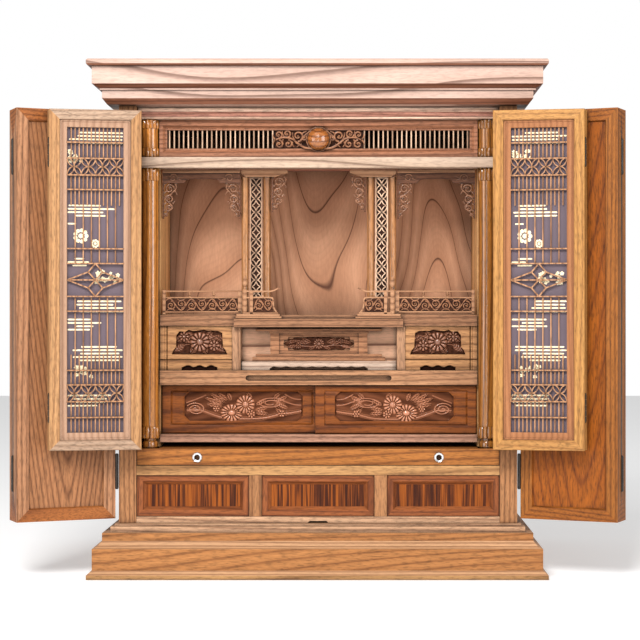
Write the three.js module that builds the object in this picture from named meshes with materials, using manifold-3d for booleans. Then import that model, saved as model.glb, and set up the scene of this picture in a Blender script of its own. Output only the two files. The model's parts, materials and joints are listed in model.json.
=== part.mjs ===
import * as THREE from 'three';
import { mergeVertices } from 'three/addons/utils/BufferGeometryUtils.js';
import Module from 'manifold-3d';

// A wooden household altar cabinet with bi-fold outer doors, bi-fold lattice doors,
// a carved and tiered interior, a pair of carved sliding doors, a pull-out shelf and
// three drawers. Millimetres, +Z up, -Y is the front, the origin is the middle of the
// base's underside. The doors stand open, as in normal use.

const wasm = await Module();
wasm.setup();

// Driving dimensions of the body
const BODY_WIDTH = 470;
const BODY_DEPTH = 372;
const SIDE_THICK = 20.5;
const BACK_THICK = 8;
const GAP = 0.3;

// Heights, stacked upwards from the ground
const BASE_HEIGHT = 62.5;
const FLOOR_THICK = 7.5;
const DRAWER_OPENING = 49;
const DRAWER_RAIL_HEIGHT = 11;
const TRAY_OPENING = 20;
const SILL_GAP = 6;
const SILL_THICK = 9;
const PAIR_OPENING = 59.3;
const MIDDLE_THICK = 17.3;
const TABLE_OPENING = 53.4;
const UPPER_THICK = 13;
const BAY_OPENING = 175;
const BEAM_HEIGHT = 12.5;
const TRANSOM_HEIGHT = 45.5;
const HEADER_HEIGHT = 14;

// Base and cornice mouldings: how far each member stands out and how high it is
const LIP_OUT = 34;
const FASCIA_OUT = 28;
const STEP_OUT = 17.5;
const BASE_LIP_HEIGHT = 5;
const BASE_BOARD_TOP = 35;
const BASE_STEP_BOTTOM = 43.5;
const BASE_STEP_TOP = 52.5;
const BASE_FILLET_TOP = 59;
const BASE_WALL = 16;
const BASE_BOTTOM_THICK = 10;
const CORNICE_STEP_HEIGHT = 16;
const CORNICE_COVE_HEIGHT = 6.6;
const CORNICE_FASCIA_HEIGHT = 20.4;
const CORNICE_LIP_HEIGHT = 8;

// Depths behind the front plane of the body
const HEADER_DEPTH = 14;
const BEAM_DEPTH = 13.5;
const COLUMN_AXIS_DEPTH = 26.2;
const SHELF_DEPTH = 30;
const PANEL_DEPTH = 33;
const POST_AXIS_DEPTH = 46;
const TABLE_FRONT_DEPTH = 46;
const RECESS_DEPTH = 66;
const BAY_DEPTH = 150;

// Inner cabinet
const COLUMN_DIA = 20.4;
const COLUMN_CLEAR = 3.2;
const JAMB_THICK = 7;
const COLUMN_TO_BAY = 0.9;
const BOARD_THICK = 6;
const POST_DIA = 9.2;
const STRIP_WIDTH = 15;
const STRIP_THICK = 3;
const CENTRE_BAY_WIDTH = 113;
const SHELF_TONGUE_HALF = 101;
const SHELF_TONGUE_OUT = 7;
const SHELF_TONGUE_DROP = 4.5;

// Drawers and pull-out shelf
const DRAWER_COUNT = 3;
const DIVIDER_WIDTH = 14.4;
const DRAWER_SET_BACK = 2;
const DRAWER_LENGTH = 300;
const DRAWER_WALL = 7;
const DRAWER_FRONT_THICK = 14;
const DRAWER_FRAME = 10;
const DRAWER_PANEL_SINK = 4;
const SLIDE_CLEAR = 0.5;
const TRAY_FACE_THICK = 14;
const TRAY_BOARD_THICK = 8;
const TRAY_LENGTH = 290;
const RING_X = 142.8;
const RING_OUTER_DIA = 12.6;
const RING_INNER_DIA = 7;
const RING_LIP = 1.2;
const RING_DEPTH = 7;

const BALL_R = 13.3;
const BALL_FLATTEN = 0.75;

// Sliding doors
const PAIR_THICK = 9;
const PAIR_OVERLAP = 8;
const PAIR_TRACK_GAP = 1.5;
const PAIR_MARGIN = 13;
const RELIEF_SINK = 3;

// Outer bi-fold doors
const OUTER_THICK = 17;
const OUTER_BOTTOM_CLEAR = 5.5;
const OUTER_TOP_CLEAR = 7.6;
const OUTER_STILE = 15.5;
const OUTER_PANEL_SINK = 2.6;
const OUTER_AXIS_OUT = 2.3;
const OUTER_OPEN_DEG = 156;
const OUTER_FOLD_DEG = 180;
const OUTER_BARREL_R = 2;
const OUTER_BARREL_LENGTH = 40;
const OUTER_BARREL_INSET = 55.5;

// Inner bi-fold lattice doors
const LATTICE_THICK = 11;
const LATTICE_BOTTOM_CLEAR = 1.5;
const LATTICE_TOP_CLEAR = 10;
const LATTICE_AXIS_IN = 1.5;
const LATTICE_AXIS_OUT = 0.3;
const LATTICE_OPEN_DEG = 160;
const LATTICE_FOLD_DEG = 170.5;
const LATTICE_BARREL_R = 1.5;
const LATTICE_BARREL_LENGTH = 32;
const LATTICE_BARREL_INSET = 49;
const LATTICE_STILE = 12;
const LATTICE_MOULDING = 8.5;
const LATTICE_MOULDING_SINK = 2.5;
const LATTICE_BAR = 1.5;
const LATTICE_BAR_DEPTH = 2.4;
const LATTICE_COLUMNS = 7;
// Heights of the cross bars from the middle of the opening, as shares of its half height
const LATTICE_BAR_SHARES = [0.108, 0.205, 0.592, 0.687, 0.797, 0.901];

// Derived positions
const X_OUT = BODY_WIDTH / 2;
const X_IN = X_OUT - SIDE_THICK;
const FRONT = -BODY_DEPTH / 2;
const BACK = BODY_DEPTH / 2;
const Z_FLOOR = BASE_HEIGHT + FLOOR_THICK;
const Z_DRAWER_TOP = Z_FLOOR + DRAWER_OPENING;
const Z_TRAY_BOTTOM = Z_DRAWER_TOP + DRAWER_RAIL_HEIGHT;
const Z_TRAY_TOP = Z_TRAY_BOTTOM + TRAY_OPENING;
const Z_SILL = Z_TRAY_TOP + SILL_GAP;
const Z_SILL_TOP = Z_SILL + SILL_THICK;
const Z_MIDDLE = Z_SILL_TOP + PAIR_OPENING;
const Z_MIDDLE_TOP = Z_MIDDLE + MIDDLE_THICK;
const Z_UPPER = Z_MIDDLE_TOP + TABLE_OPENING;
const Z_UPPER_TOP = Z_UPPER + UPPER_THICK;
const Z_BEAM = Z_UPPER_TOP + BAY_OPENING;
const Z_BEAM_TOP = Z_BEAM + BEAM_HEIGHT;
const Z_TRANSOM_TOP = Z_BEAM_TOP + TRANSOM_HEIGHT;
const Z_BODY_TOP = Z_TRANSOM_TOP + HEADER_HEIGHT;
const INNER_BACK = BODY_DEPTH - BACK_THICK - GAP;
const COLUMN_X = X_IN - COLUMN_CLEAR - COLUMN_DIA / 2;
const INNER_HALF_WIDTH = COLUMN_X - COLUMN_DIA / 2 - COLUMN_TO_BAY;

// Materials
function wood(color, roughness) {
  return new THREE.MeshStandardMaterial({ color, roughness, metalness: 0 });
}

const MATERIAL = {
  case: wood(0xb5763f, 0.42),
  pale: wood(0xd9a67c, 0.42),
  column: wood(0xa96d33, 0.3),
  panel: wood(0xa87f5c, 0.45),
  carving: wood(0x8a5a34, 0.5),
  dark: wood(0x4e2c1c, 0.45),
  drawer: wood(0x9a5a2e, 0.4),
  steel: new THREE.MeshStandardMaterial({ color: 0xc8ccd0, roughness: 0.2, metalness: 1 }),
};

const cabinet = new THREE.Group();

// Solid helpers
function yAt(depth) {
  return FRONT + depth;
}

function toSolid(geometry) {
  const bare = geometry.clone();
  bare.deleteAttribute('normal');
  bare.deleteAttribute('uv');
  const merged = mergeVertices(bare, 1e-4);
  const index = merged.index.array;
  const faces = [];
  for (let i = 0; i < index.length; i += 3) {
    const [a, b, c] = [index[i], index[i + 1], index[i + 2]];
    if (a !== b && b !== c && a !== c) {
      faces.push(a, b, c);
    }
  }
  return new wasm.Manifold(new wasm.Mesh({
    numProp: 3,
    vertProperties: new Float32Array(merged.attributes.position.array),
    triVerts: new Uint32Array(faces),
  }));
}

function toGeometry(solid) {
  const mesh = solid.getMesh();
  const geometry = new THREE.BufferGeometry();
  geometry.setAttribute('position', new THREE.BufferAttribute(mesh.vertProperties, 3));
  geometry.setIndex(new THREE.BufferAttribute(mesh.triVerts, 1));
  geometry.computeVertexNormals();
  return geometry;
}

function addPiece(name, solid, material, parent = cabinet) {
  const mesh = new THREE.Mesh(toGeometry(solid), material);
  mesh.name = name;
  parent.add(mesh);
  return mesh;
}

function unite(solids) {
  return solids.reduce((whole, next) => whole.add(next));
}

function box(x0, x1, y0, y1, z0, z1) {
  const size = [Math.abs(x1 - x0), Math.abs(y1 - y0), Math.abs(z1 - z0)];
  const geometry = new THREE.BoxGeometry(...size);
  geometry.translate((x0 + x1) / 2, (y0 + y1) / 2, (z0 + z1) / 2);
  return toSolid(geometry);
}

// A box placed by its depths behind the body's front plane
function board(x0, x1, depth0, depth1, z0, z1) {
  return box(x0, x1, yAt(depth0), yAt(depth1), z0, z1);
}

function shapeOf(points) {
  return new THREE.Shape(points.map(([x, y]) => new THREE.Vector2(x, y)));
}

// An outline in X and Z, extruded from y0 to y1
function plate(points, y0, y1) {
  const depth = Math.abs(y1 - y0);
  const geometry = new THREE.ExtrudeGeometry(shapeOf(points), { depth, bevelEnabled: false });
  geometry.rotateX(Math.PI / 2);
  geometry.translate(0, Math.max(y0, y1), 0);
  return toSolid(geometry);
}

// An outline with holes, in X and Z, extruded from y0 to y1
function pierced(points, holes, y0, y1) {
  const prisms = holes.map((hole) => plate(hole, y0 - 1, y1 + 1));
  return prisms.reduce((whole, prism) => whole.subtract(prism), plate(points, y0, y1));
}

// An outline in X and Y, extruded from z0 to z1
function slab(points, z0, z1) {
  const depth = z1 - z0;
  const geometry = new THREE.ExtrudeGeometry(shapeOf(points), { depth, bevelEnabled: false });
  geometry.translate(0, 0, z0);
  return toSolid(geometry);
}

// A turned piece about a vertical axis, from [radius, height] pairs
function turned(profile, segments, x, y) {
  const points = profile.map(([r, z]) => new THREE.Vector2(r, z));
  const geometry = new THREE.LatheGeometry(points, segments);
  geometry.rotateX(Math.PI / 2);
  geometry.translate(x, y, 0);
  return toSolid(geometry);
}

function upright(radius, z0, z1, segments, x, y) {
  return turned([[0, z0], [radius, z0], [radius, z1], [0, z1]], segments, x, y);
}

// A stack of rectangles that stand out from the front and sides and are flush at the back
function mouldedStack(profile, backOut = 0) {
  const positions = [];
  const index = [];
  for (const [out, z] of profile) {
    const x = X_OUT + out;
    positions.push(-x, FRONT - out, z, x, FRONT - out, z, x, BACK + backOut, z, -x, BACK + backOut, z);
  }
  for (let ring = 0; ring < profile.length - 1; ring += 1) {
    for (let side = 0; side < 4; side += 1) {
      const a = ring * 4 + side;
      const b = ring * 4 + (side + 1) % 4;
      index.push(a, b, b + 4, a, b + 4, a + 4);
    }
  }
  const top = (profile.length - 1) * 4;
  index.push(0, 2, 1, 0, 3, 2, top, top + 1, top + 2, top, top + 2, top + 3);
  const geometry = new THREE.BufferGeometry();
  geometry.setAttribute('position', new THREE.Float32BufferAttribute(positions, 3));
  geometry.setIndex(index);
  return toSolid(geometry);
}

// A block with four sloping sides: a rectangle in X and Z at y0 and a smaller one at y1
function frustum(x0, x1, z0, z1, y0, y1, slope) {
  const positions = [];
  for (const [y, inset] of [[y0, 0], [y1, slope]]) {
    positions.push(x0 + inset, y, z0 + inset, x1 - inset, y, z0 + inset);
    positions.push(x1 - inset, y, z1 - inset, x0 + inset, y, z1 - inset);
  }
  const index = [0, 1, 2, 0, 2, 3, 4, 6, 5, 4, 7, 6];
  for (let side = 0; side < 4; side += 1) {
    const next = (side + 1) % 4;
    index.push(side, side + 4, next + 4, side, next + 4, next);
  }
  if (y1 < y0) {
    index.reverse();
  }
  const geometry = new THREE.BufferGeometry();
  geometry.setAttribute('position', new THREE.Float32BufferAttribute(positions, 3));
  geometry.setIndex(index);
  return toSolid(geometry);
}

// Carving helpers: all outlines are in X and Z
const CURL_STEPS = 6;

function arcPoints(cx, cz, r0, r1, degrees0, degrees1, steps) {
  const points = [];
  for (let i = 0; i <= steps; i += 1) {
    const t = i / steps;
    const r = r0 + (r1 - r0) * t;
    const a = THREE.MathUtils.degToRad(degrees0 + (degrees1 - degrees0) * t);
    points.push([cx + r * Math.cos(a), cz + r * Math.sin(a)]);
  }
  return points;
}

// A flat strip that follows a line of points, tapering from width0 to width1
function ribbon(points, width0, width1, y0, y1) {
  const left = [];
  const right = [];
  const last = points.length - 1;
  points.forEach(([x, z], i) => {
    const [xa, za] = points[Math.max(i - 1, 0)];
    const [xb, zb] = points[Math.min(i + 1, last)];
    const length = Math.hypot(xb - xa, zb - za);
    const half = (width0 + (width1 - width0) * i / last) / 2;
    const nx = -(zb - za) / length * half;
    const nz = (xb - xa) / length * half;
    left.push([x + nx, z + nz]);
    right.unshift([x - nx, z - nz]);
  });
  return plate([...left, ...right], y0, y1);
}

// A strip between two points
function bar(x0, z0, x1, z1, width, y0, y1) {
  return ribbon([[x0, z0], [x1, z1]], width, width, y0, y1);
}

// A spiral scroll of radius r that turns inwards from the given direction
function curl(cx, cz, r, startDegrees, turnDegrees, width, y0, y1) {
  const spiral = arcPoints(cx, cz, r, r * 0.3, startDegrees, startDegrees + turnDegrees, CURL_STEPS);
  return ribbon(spiral, width, width * 0.9, y0, y1);
}

// The holes of a run of crossed bars between two rails: a pair of triangles in each cell and
// a diamond between cells. place turns (along, across) into [x, z].
function crossedHoles(start, end, cells, half, width, place) {
  const pitch = (end - start) / cells;
  const holes = [];
  const lean = width * 0.72;
  for (let i = 0; i < cells; i += 1) {
    const mid = start + pitch * (i + 0.5);
    for (const side of [-1, 1]) {
      holes.push([place(mid - pitch / 2 + lean, side * half), place(mid + pitch / 2 - lean, side * half),
        place(mid, side * lean)]);
    }
    if (i > 0) {
      const joint = start + pitch * i;
      holes.push([place(joint - pitch / 2 + lean, 0), place(joint, half - lean * 0.6),
        place(joint + pitch / 2 - lean, 0), place(joint, -half + lean * 0.6)]);
    }
  }
  for (const [tip, edge] of [[start + pitch / 2 - lean, start], [end - pitch / 2 + lean, end]]) {
    holes.push([place(tip, 0), place(edge + Math.sign(tip - edge) * 0.6, half - lean),
      place(edge + Math.sign(tip - edge) * 0.6, -half + lean)]);
  }
  return holes;
}

// A flat flower with rounded petals
function rosette(cx, cz, r, petals, y0, y1) {
  const points = [];
  for (let i = 0; i < petals * 2; i += 1) {
    const a = Math.PI * i / petals;
    const radius = i % 2 === 0 ? r : r * 0.8;
    points.push([cx + radius * Math.cos(a), cz + radius * Math.sin(a)]);
  }
  return plate(points, y0, y1);
}

// A pointed leaf from its foot to its tip
function leaf(x0, z0, x1, z1, width, y0, y1) {
  const [dx, dz] = [x1 - x0, z1 - z0];
  const length = Math.hypot(dx, dz);
  const [nx, nz] = [-dz / length * width / 2, dx / length * width / 2];
  const at = (t, side) => [x0 + dx * t + nx * side, z0 + dz * t + nz * side];
  return plate([at(0, 0), at(0.3, -0.9), at(0.65, -0.8), at(1, 0), at(0.65, 0.8), at(0.3, 0.9)], y0, y1);
}

// Base, cornice and case
function addBase() {
  const half = (STEP_OUT - 8) / 2;
  const shell = mouldedStack([
    [LIP_OUT, 0],
    [LIP_OUT, BASE_LIP_HEIGHT],
    [FASCIA_OUT, BASE_LIP_HEIGHT * 2],
    [FASCIA_OUT, BASE_BOARD_TOP],
    [STEP_OUT + half, BASE_BOARD_TOP + (BASE_STEP_BOTTOM - BASE_BOARD_TOP) * 0.35],
    [STEP_OUT, BASE_STEP_BOTTOM],
    [STEP_OUT, BASE_STEP_TOP],
    [STEP_OUT / 2, BASE_STEP_TOP],
    [STEP_OUT / 2, BASE_FILLET_TOP],
    [STEP_OUT / 4, BASE_FILLET_TOP],
    [STEP_OUT / 4, BASE_HEIGHT - GAP],
  ]);
  const hollow = box(-X_OUT + BASE_WALL, X_OUT - BASE_WALL, FRONT + BASE_WALL, BACK - BASE_WALL,
    BASE_BOTTOM_THICK, BASE_HEIGHT + 1);
  addPiece('base', shell.subtract(hollow), MATERIAL.case);
}

function addCornice() {
  const step = Z_BODY_TOP + CORNICE_COVE_HEIGHT;
  const cove = Z_BODY_TOP + CORNICE_STEP_HEIGHT;
  const fascia = cove + CORNICE_COVE_HEIGHT;
  const lip = fascia + CORNICE_FASCIA_HEIGHT;
  addPiece('cornice', mouldedStack([
    [STEP_OUT * 0.7, Z_BODY_TOP],
    [STEP_OUT, step],
    [STEP_OUT, cove],
    [STEP_OUT + 2.5, cove],
    [STEP_OUT + 2.5, cove + 2],
    [FASCIA_OUT, fascia],
    [FASCIA_OUT, lip],
    [LIP_OUT - 1.5, lip + 0.5],
    [LIP_OUT, lip + CORNICE_LIP_HEIGHT * 0.3],
    [LIP_OUT, lip + CORNICE_LIP_HEIGHT * 0.8],
    [LIP_OUT - 1.5, lip + CORNICE_LIP_HEIGHT],
  ]), MATERIAL.pale);
}

function addCase() {
  for (const [name, s] of [['side_left', -1], ['side_right', 1]]) {
    addPiece(name, board(s * X_IN, s * X_OUT, 0, BODY_DEPTH, BASE_HEIGHT, Z_BODY_TOP - GAP), MATERIAL.case);
  }
  const wide = X_IN - GAP;
  addPiece('back_board',
    board(-wide, wide, BODY_DEPTH - BACK_THICK, BODY_DEPTH, BASE_HEIGHT, Z_BODY_TOP - GAP), MATERIAL.panel);
  const notch = plate([[-13, BASE_HEIGHT - 1], [13, BASE_HEIGHT - 1], [10, BASE_HEIGHT + 2.5],
    [-10, BASE_HEIGHT + 2.5]], yAt(-1), yAt(8));
  const floor = board(-wide, wide, 0, INNER_BACK, BASE_HEIGHT, Z_FLOOR);
  addPiece('floor_board', floor.subtract(notch), MATERIAL.case);
  addPiece('drawer_rail_board',
    board(-wide, wide, 0, INNER_BACK, Z_DRAWER_TOP, Z_TRAY_BOTTOM), MATERIAL.case);
}

// Drawers: a framed front with a sunk panel and an open box behind it
const DRAWER_SPAN = (2 * X_IN - (DRAWER_COUNT - 1) * DIVIDER_WIDTH) / DRAWER_COUNT;

function drawerCentre(i) {
  return (i - (DRAWER_COUNT - 1) / 2) * (DRAWER_SPAN + DIVIDER_WIDTH);
}

function addDrawer(i) {
  const half = DRAWER_SPAN / 2 - SLIDE_CLEAR;
  const x = drawerCentre(i);
  const [x0, x1] = [x - half, x + half];
  const z0 = Z_FLOOR + SLIDE_CLEAR;
  const z1 = Z_DRAWER_TOP - SLIDE_CLEAR;
  const face = DRAWER_SET_BACK;
  const inner = face + DRAWER_FRONT_THICK;
  const body = board(x0, x1, face, face + DRAWER_LENGTH, z0, z1);
  const hollow = board(x0 + DRAWER_WALL, x1 - DRAWER_WALL, inner, face + DRAWER_LENGTH - DRAWER_WALL,
    z0 + DRAWER_WALL - 1, z1 + 1);
  const sunk = frustum(x0 + DRAWER_FRAME - 3, x1 - DRAWER_FRAME + 3, z0 + DRAWER_FRAME - 3,
    z1 - DRAWER_FRAME + 3, yAt(face - 0.01), yAt(face + DRAWER_PANEL_SINK), 4);
  addPiece(`drawer_${i + 1}`, body.subtract(hollow).subtract(sunk), MATERIAL.drawer);
}

function addDrawers() {
  for (let i = 0; i < DRAWER_COUNT; i += 1) {
    addDrawer(i);
  }
  for (let i = 0; i < DRAWER_COUNT - 1; i += 1) {
    const x = (drawerCentre(i) + drawerCentre(i + 1)) / 2;
    const half = DIVIDER_WIDTH / 2;
    addPiece(`drawer_divider_${i + 1}`,
      board(x - half, x + half, 0, INNER_BACK, Z_FLOOR + GAP, Z_DRAWER_TOP - GAP), MATERIAL.case);
  }
}

// Pull-out shelf: a board with a deeper front rail, and two metal eyelets in it
function ringAxis(s) {
  return { x: s * RING_X, z: (Z_TRAY_BOTTOM + Z_TRAY_TOP) / 2 - 0.3 };
}

function addTray() {
  const half = X_IN - SLIDE_CLEAR;
  const z0 = Z_TRAY_BOTTOM + SLIDE_CLEAR;
  const z1 = Z_TRAY_TOP - GAP;
  const face = DRAWER_SET_BACK;
  let tray = board(-half, half, face, face + TRAY_FACE_THICK, z0, z1);
  const deck = INNER_HALF_WIDTH - SLIDE_CLEAR;
  tray = tray.add(board(-deck, deck, face, face + TRAY_LENGTH, z1 - TRAY_BOARD_THICK, z1));
  for (const [name, s] of [['ring_left', -1], ['ring_right', 1]]) {
    const { x, z } = ringAxis(s);
    const r = RING_OUTER_DIA / 2;
    const bore = new THREE.CylinderGeometry(r - RING_LIP + GAP, r - RING_LIP + GAP, RING_DEPTH * 2, 10);
    tray = tray.subtract(toSolid(bore.translate(x, yAt(face), z)));
    const hole = RING_INNER_DIA / 2;
    const section = [[hole, RING_DEPTH - 1], [hole, -0.8], [r - 0.8, -1.2], [r, -GAP],
      [r - RING_LIP, -GAP], [r - RING_LIP, RING_DEPTH - 1], [hole, RING_DEPTH - 1]];
    const ring = new THREE.LatheGeometry(section.map(([a, b]) => new THREE.Vector2(a, b)), 10);
    addPiece(name, toSolid(ring.translate(x, yAt(face), z)), MATERIAL.steel);
  }
  addPiece('pull_out_shelf', tray, MATERIAL.pale);
}

// Round corner columns with faceted collars, standing beside the pull-out shelf
function addColumn(name, s) {
  const x = s * COLUMN_X;
  const y = yAt(COLUMN_AXIS_DEPTH);
  const r = COLUMN_DIA / 2;
  const collar = r + 0.9;
  const foot = Z_TRAY_TOP;
  const neck = foot + 8;
  const top = Z_TRANSOM_TOP - GAP;
  const profile = [
    [0, foot], [r * 0.9, foot], [r * 0.9, neck], [r * 0.8, neck], [r * 0.8, neck + 3],
    [collar, neck + 3], [collar, neck + 17], [r, neck + 17],
    [r, Z_BEAM - 16], [collar, Z_BEAM - 16], [collar, Z_BEAM - 1], [r, Z_BEAM - 1],
    [r, Z_BEAM_TOP + 1], [collar, Z_BEAM_TOP + 1], [collar, Z_BEAM_TOP + 12], [r, Z_BEAM_TOP + 12],
    [r, top - 11], [collar, top - 11], [collar, top], [0, top],
  ];
  const column = turned(profile, 8, x, y);
  const beamSlot = board(x - 20, x + 20, 0, BEAM_DEPTH + 3 + GAP, Z_BEAM - GAP, Z_BEAM_TOP + GAP);
  addPiece(name, column.subtract(beamSlot), MATERIAL.column);
}

function addFrameOfInside() {
  addColumn('column_left', -1);
  addColumn('column_right', 1);
  for (const [name, s] of [['inner_side_left', -1], ['inner_side_right', 1]]) {
    const outer = INNER_HALF_WIDTH + JAMB_THICK;
    addPiece(name, board(s * INNER_HALF_WIDTH, s * outer, COLUMN_AXIS_DEPTH + COLUMN_DIA / 2 + 1.5,
      INNER_BACK, Z_TRAY_TOP + GAP, Z_TRANSOM_TOP - GAP), MATERIAL.case);
  }
  const wide = X_IN - GAP;
  const between = COLUMN_X - COLUMN_DIA / 2 - 1.5;
  const inset = BEAM_DEPTH + 3;
  addPiece('cross_beam', slab([
    [-wide, yAt(BEAM_DEPTH)], [wide, yAt(BEAM_DEPTH)], [wide, yAt(inset)], [between, yAt(inset)],
    [between, yAt(SHELF_DEPTH + 6)], [-between, yAt(SHELF_DEPTH + 6)], [-between, yAt(inset)],
    [-wide, yAt(inset)],
  ], Z_BEAM, Z_BEAM_TOP), MATERIAL.pale);
  const header = board(-wide, wide, HEADER_DEPTH, HEADER_DEPTH + 14, Z_TRANSOM_TOP, Z_BODY_TOP - GAP);
  const reveal = board(-wide - 1, wide + 1, HEADER_DEPTH - 1, HEADER_DEPTH + 4, Z_TRANSOM_TOP - 1,
    Z_TRANSOM_TOP + HEADER_HEIGHT / 2);
  addPiece('header_board', header.subtract(reveal), MATERIAL.case);
}

// Shelves of the inside, all fixed. The middle one has a grasping groove with round ends.
const GROOVE_END_X = 84;
const GROOVE_R = 3.4;

function addShelves() {
  const wide = INNER_HALF_WIDTH - GAP;
  const back = INNER_BACK;
  addPiece('sill_board', board(-wide, wide, SHELF_DEPTH, back, Z_SILL, Z_SILL_TOP), MATERIAL.case);
  const middle = board(-wide, wide, SHELF_DEPTH - 2, back, Z_MIDDLE, Z_MIDDLE_TOP);
  const grooveZ = Z_MIDDLE + MIDDLE_THICK * 0.48;
  const groove = plate([
    ...arcPoints(GROOVE_END_X, grooveZ, GROOVE_R, GROOVE_R, -90, 90, 4),
    ...arcPoints(-GROOVE_END_X, grooveZ, GROOVE_R, GROOVE_R, 90, 270, 4),
  ], yAt(0), yAt(SHELF_DEPTH + 3));
  addPiece('middle_shelf', middle.subtract(groove), MATERIAL.case);
  const upper = board(-wide, wide, SHELF_DEPTH, BAY_DEPTH + BOARD_THICK, Z_UPPER, Z_UPPER_TOP);
  const tongue = board(-SHELF_TONGUE_HALF, SHELF_TONGUE_HALF, SHELF_DEPTH - SHELF_TONGUE_OUT,
    SHELF_DEPTH + 1, Z_UPPER - 1.4, Z_UPPER_TOP - SHELF_TONGUE_DROP);
  addPiece('upper_shelf', upper.add(tongue), MATERIAL.case);
  addPiece('bay_back_panel', board(-wide, wide, BAY_DEPTH, BAY_DEPTH + BOARD_THICK,
    Z_UPPER_TOP + GAP, Z_BEAM_TOP), MATERIAL.panel);
  addPiece('bay_ceiling', board(-wide, wide, SHELF_DEPTH + 6 + GAP, BAY_DEPTH - GAP,
    Z_BEAM_TOP - BOARD_THICK, Z_BEAM_TOP), MATERIAL.case);
}

// Transom: a moulded frame of thin upright slats with an openwork scroll and a ball in its middle
const TRANSOM_MOULDING = 9;
const TRANSOM_THICK = 12;
const SLAT_PITCH = 5.6;
const SLAT_WIDTH = 1.5;
const SCROLL_HALF = 52;

function addTransom() {
  const half = INNER_HALF_WIDTH - GAP;
  const z0 = Z_BEAM_TOP + GAP;
  const z1 = Z_TRANSOM_TOP - GAP;
  const y0 = yAt(SHELF_DEPTH - 7);
  const y1 = y0 + TRANSOM_THICK;
  const moulding = TRANSOM_MOULDING;
  const openHalf = half - moulding;
  const openZ0 = z0 + moulding + 2;
  const openZ1 = z1 - moulding - 3;
  let frame = box(-half, half, y0, y1, z0, z1);
  frame = frame.subtract(frustum(-openHalf - 5, openHalf + 5, openZ0 - 5, openZ1 + 5, y0 - 0.01, y0 + 4, 3));
  frame = frame.subtract(box(-openHalf, openHalf, y0 - 1, y1 + 1, openZ0, openZ1));
  const slats = [];
  const w = SLAT_WIDTH / 2;
  for (let x = SCROLL_HALF + SLAT_PITCH / 2; x < openHalf - SLAT_WIDTH; x += SLAT_PITCH) {
    for (const s of [-1, 1]) {
      slats.push(box(s * x - w, s * x + w, y0 + 5, y0 + 7.5, openZ0 - 0.5, openZ1 + 0.5));
    }
  }
  const backing = box(-SCROLL_HALF - 1, SCROLL_HALF + 1, y0 + 8, y0 + 9.5, openZ0 - 0.5, openZ1 + 0.5);
  addPiece('transom', unite([frame, backing, ...slats]), MATERIAL.pale);
  addTransomScroll((openZ0 + openZ1) / 2, (openZ1 - openZ0) / 2, y0);
}

function addTransomScroll(cz, reach, y0) {
  const front = y0 + 0.3;
  const back = y0 + 3.7;
  const web = back - 0.8;
  const limit = reach + 1.6;
  const pieces = [];
  for (const s of [-1, 1]) {
    const mirrored = (points) => points.map(([x, z]) => [s * x, cz + z]);
    const stem = [[6, -limit + 1], [16, -limit + 2], [24, -limit * 0.55], [32, 0.4], [42, 1.8], [51, -0.5]];
    pieces.push(ribbon(mirrored(stem), 2.6, 1.8, front, back));
    const sprig = [[9, limit - 1.5], [17, 4], [22, -2], [27, -5.2]];
    pieces.push(ribbon(mirrored(sprig), 2, 1.6, front, back));
    const curls = [[24.5, 3.6, 6.4, 270, -360], [37.5, 6.6, 4.8, 270, -360], [36, -5.6, 4.9, 90, 360],
      [47.5, 5.4, 4.8, 270, -360], [47, -5.9, 5.2, 90, 360]];
    for (const [x, z, r, start, turn] of curls) {
      const spiral = arcPoints(x, z, r, r * 0.35, start, start + turn, CURL_STEPS);
      pieces.push(ribbon(mirrored(spiral), 1.8, 1.6, front, back));
    }
  }
  const hub = (radius) => arcPoints(0, cz, radius, radius, 0, 330, 11);
  const seat = plate(hub(BALL_R + GAP), y0 - 20, web);
  const wide = SCROLL_HALF + 8;
  const limits = box(-wide, wide, y0 - BALL_R, y0 + BALL_R, cz - limit, cz + limit);
  const carved = unite([plate(hub(BALL_R + 2), front, back), ...pieces]).subtract(seat).intersect(limits);
  addPiece('transom_scroll', carved, MATERIAL.carving);
  const ball = new THREE.SphereGeometry(BALL_R, 14, 10);
  ball.scale(1, BALL_FLATTEN, 1);
  ball.translate(0, web - 3, cz);
  const far = BALL_R * 1.5;
  const behind = box(-far, far, web - GAP, y0 + far, cz - far, cz + far);
  addPiece('ball', toSolid(ball).subtract(behind), MATERIAL.column);
}

// Bays: carved heads, paired posts and interlaced strips
const POST_OUTER_X = CENTRE_BAY_WIDTH / 2 + POST_DIA * 1.5 + STRIP_WIDTH + 3.6;
const POST_INNER_X = CENTRE_BAY_WIDTH / 2 + POST_DIA / 2 + 1.2;
const CAP_BOTTOM = Z_BEAM - 9;
const CAP_OUTER_X = POST_OUTER_X + POST_DIA / 2;
const CAP_INNER_X = CENTRE_BAY_WIDTH / 2 - 19;
const TRACERY_DROP = 50;

// A triangular piece of scrolls that hangs beside a strip; dir is the way it grows
function tracery(x, dir, zTop, y0, y1) {
  const drop = TRACERY_DROP - 8;
  const scrolls = [[8.4, 8.5, 6.2], [7.2, 21, 5.6], [4.6, 33, 3.8]];
  const pieces = [box(x, x + dir * 2, y0, y1, zTop - drop, zTop + 1)];
  for (const [out, down, r] of scrolls) {
    const outline = arcPoints(0, 0, r, r * 0.3, 180, 180 - 420, CURL_STEPS);
    const placed = outline.map(([px, pz]) => [x + dir * (out + px), zTop - down + pz]);
    pieces.push(ribbon(placed, 2, 1.6, y0, y1));
  }
  pieces.push(bar(x + dir * 8, zTop + 1, x + dir * 6, zTop - 4, 1.8, y0, y1));
  pieces.push(bar(x + dir * 1, zTop - drop + 1, x + dir * 4, zTop - 35, 1.6, y0, y1));
  return unite(pieces);
}

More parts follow.
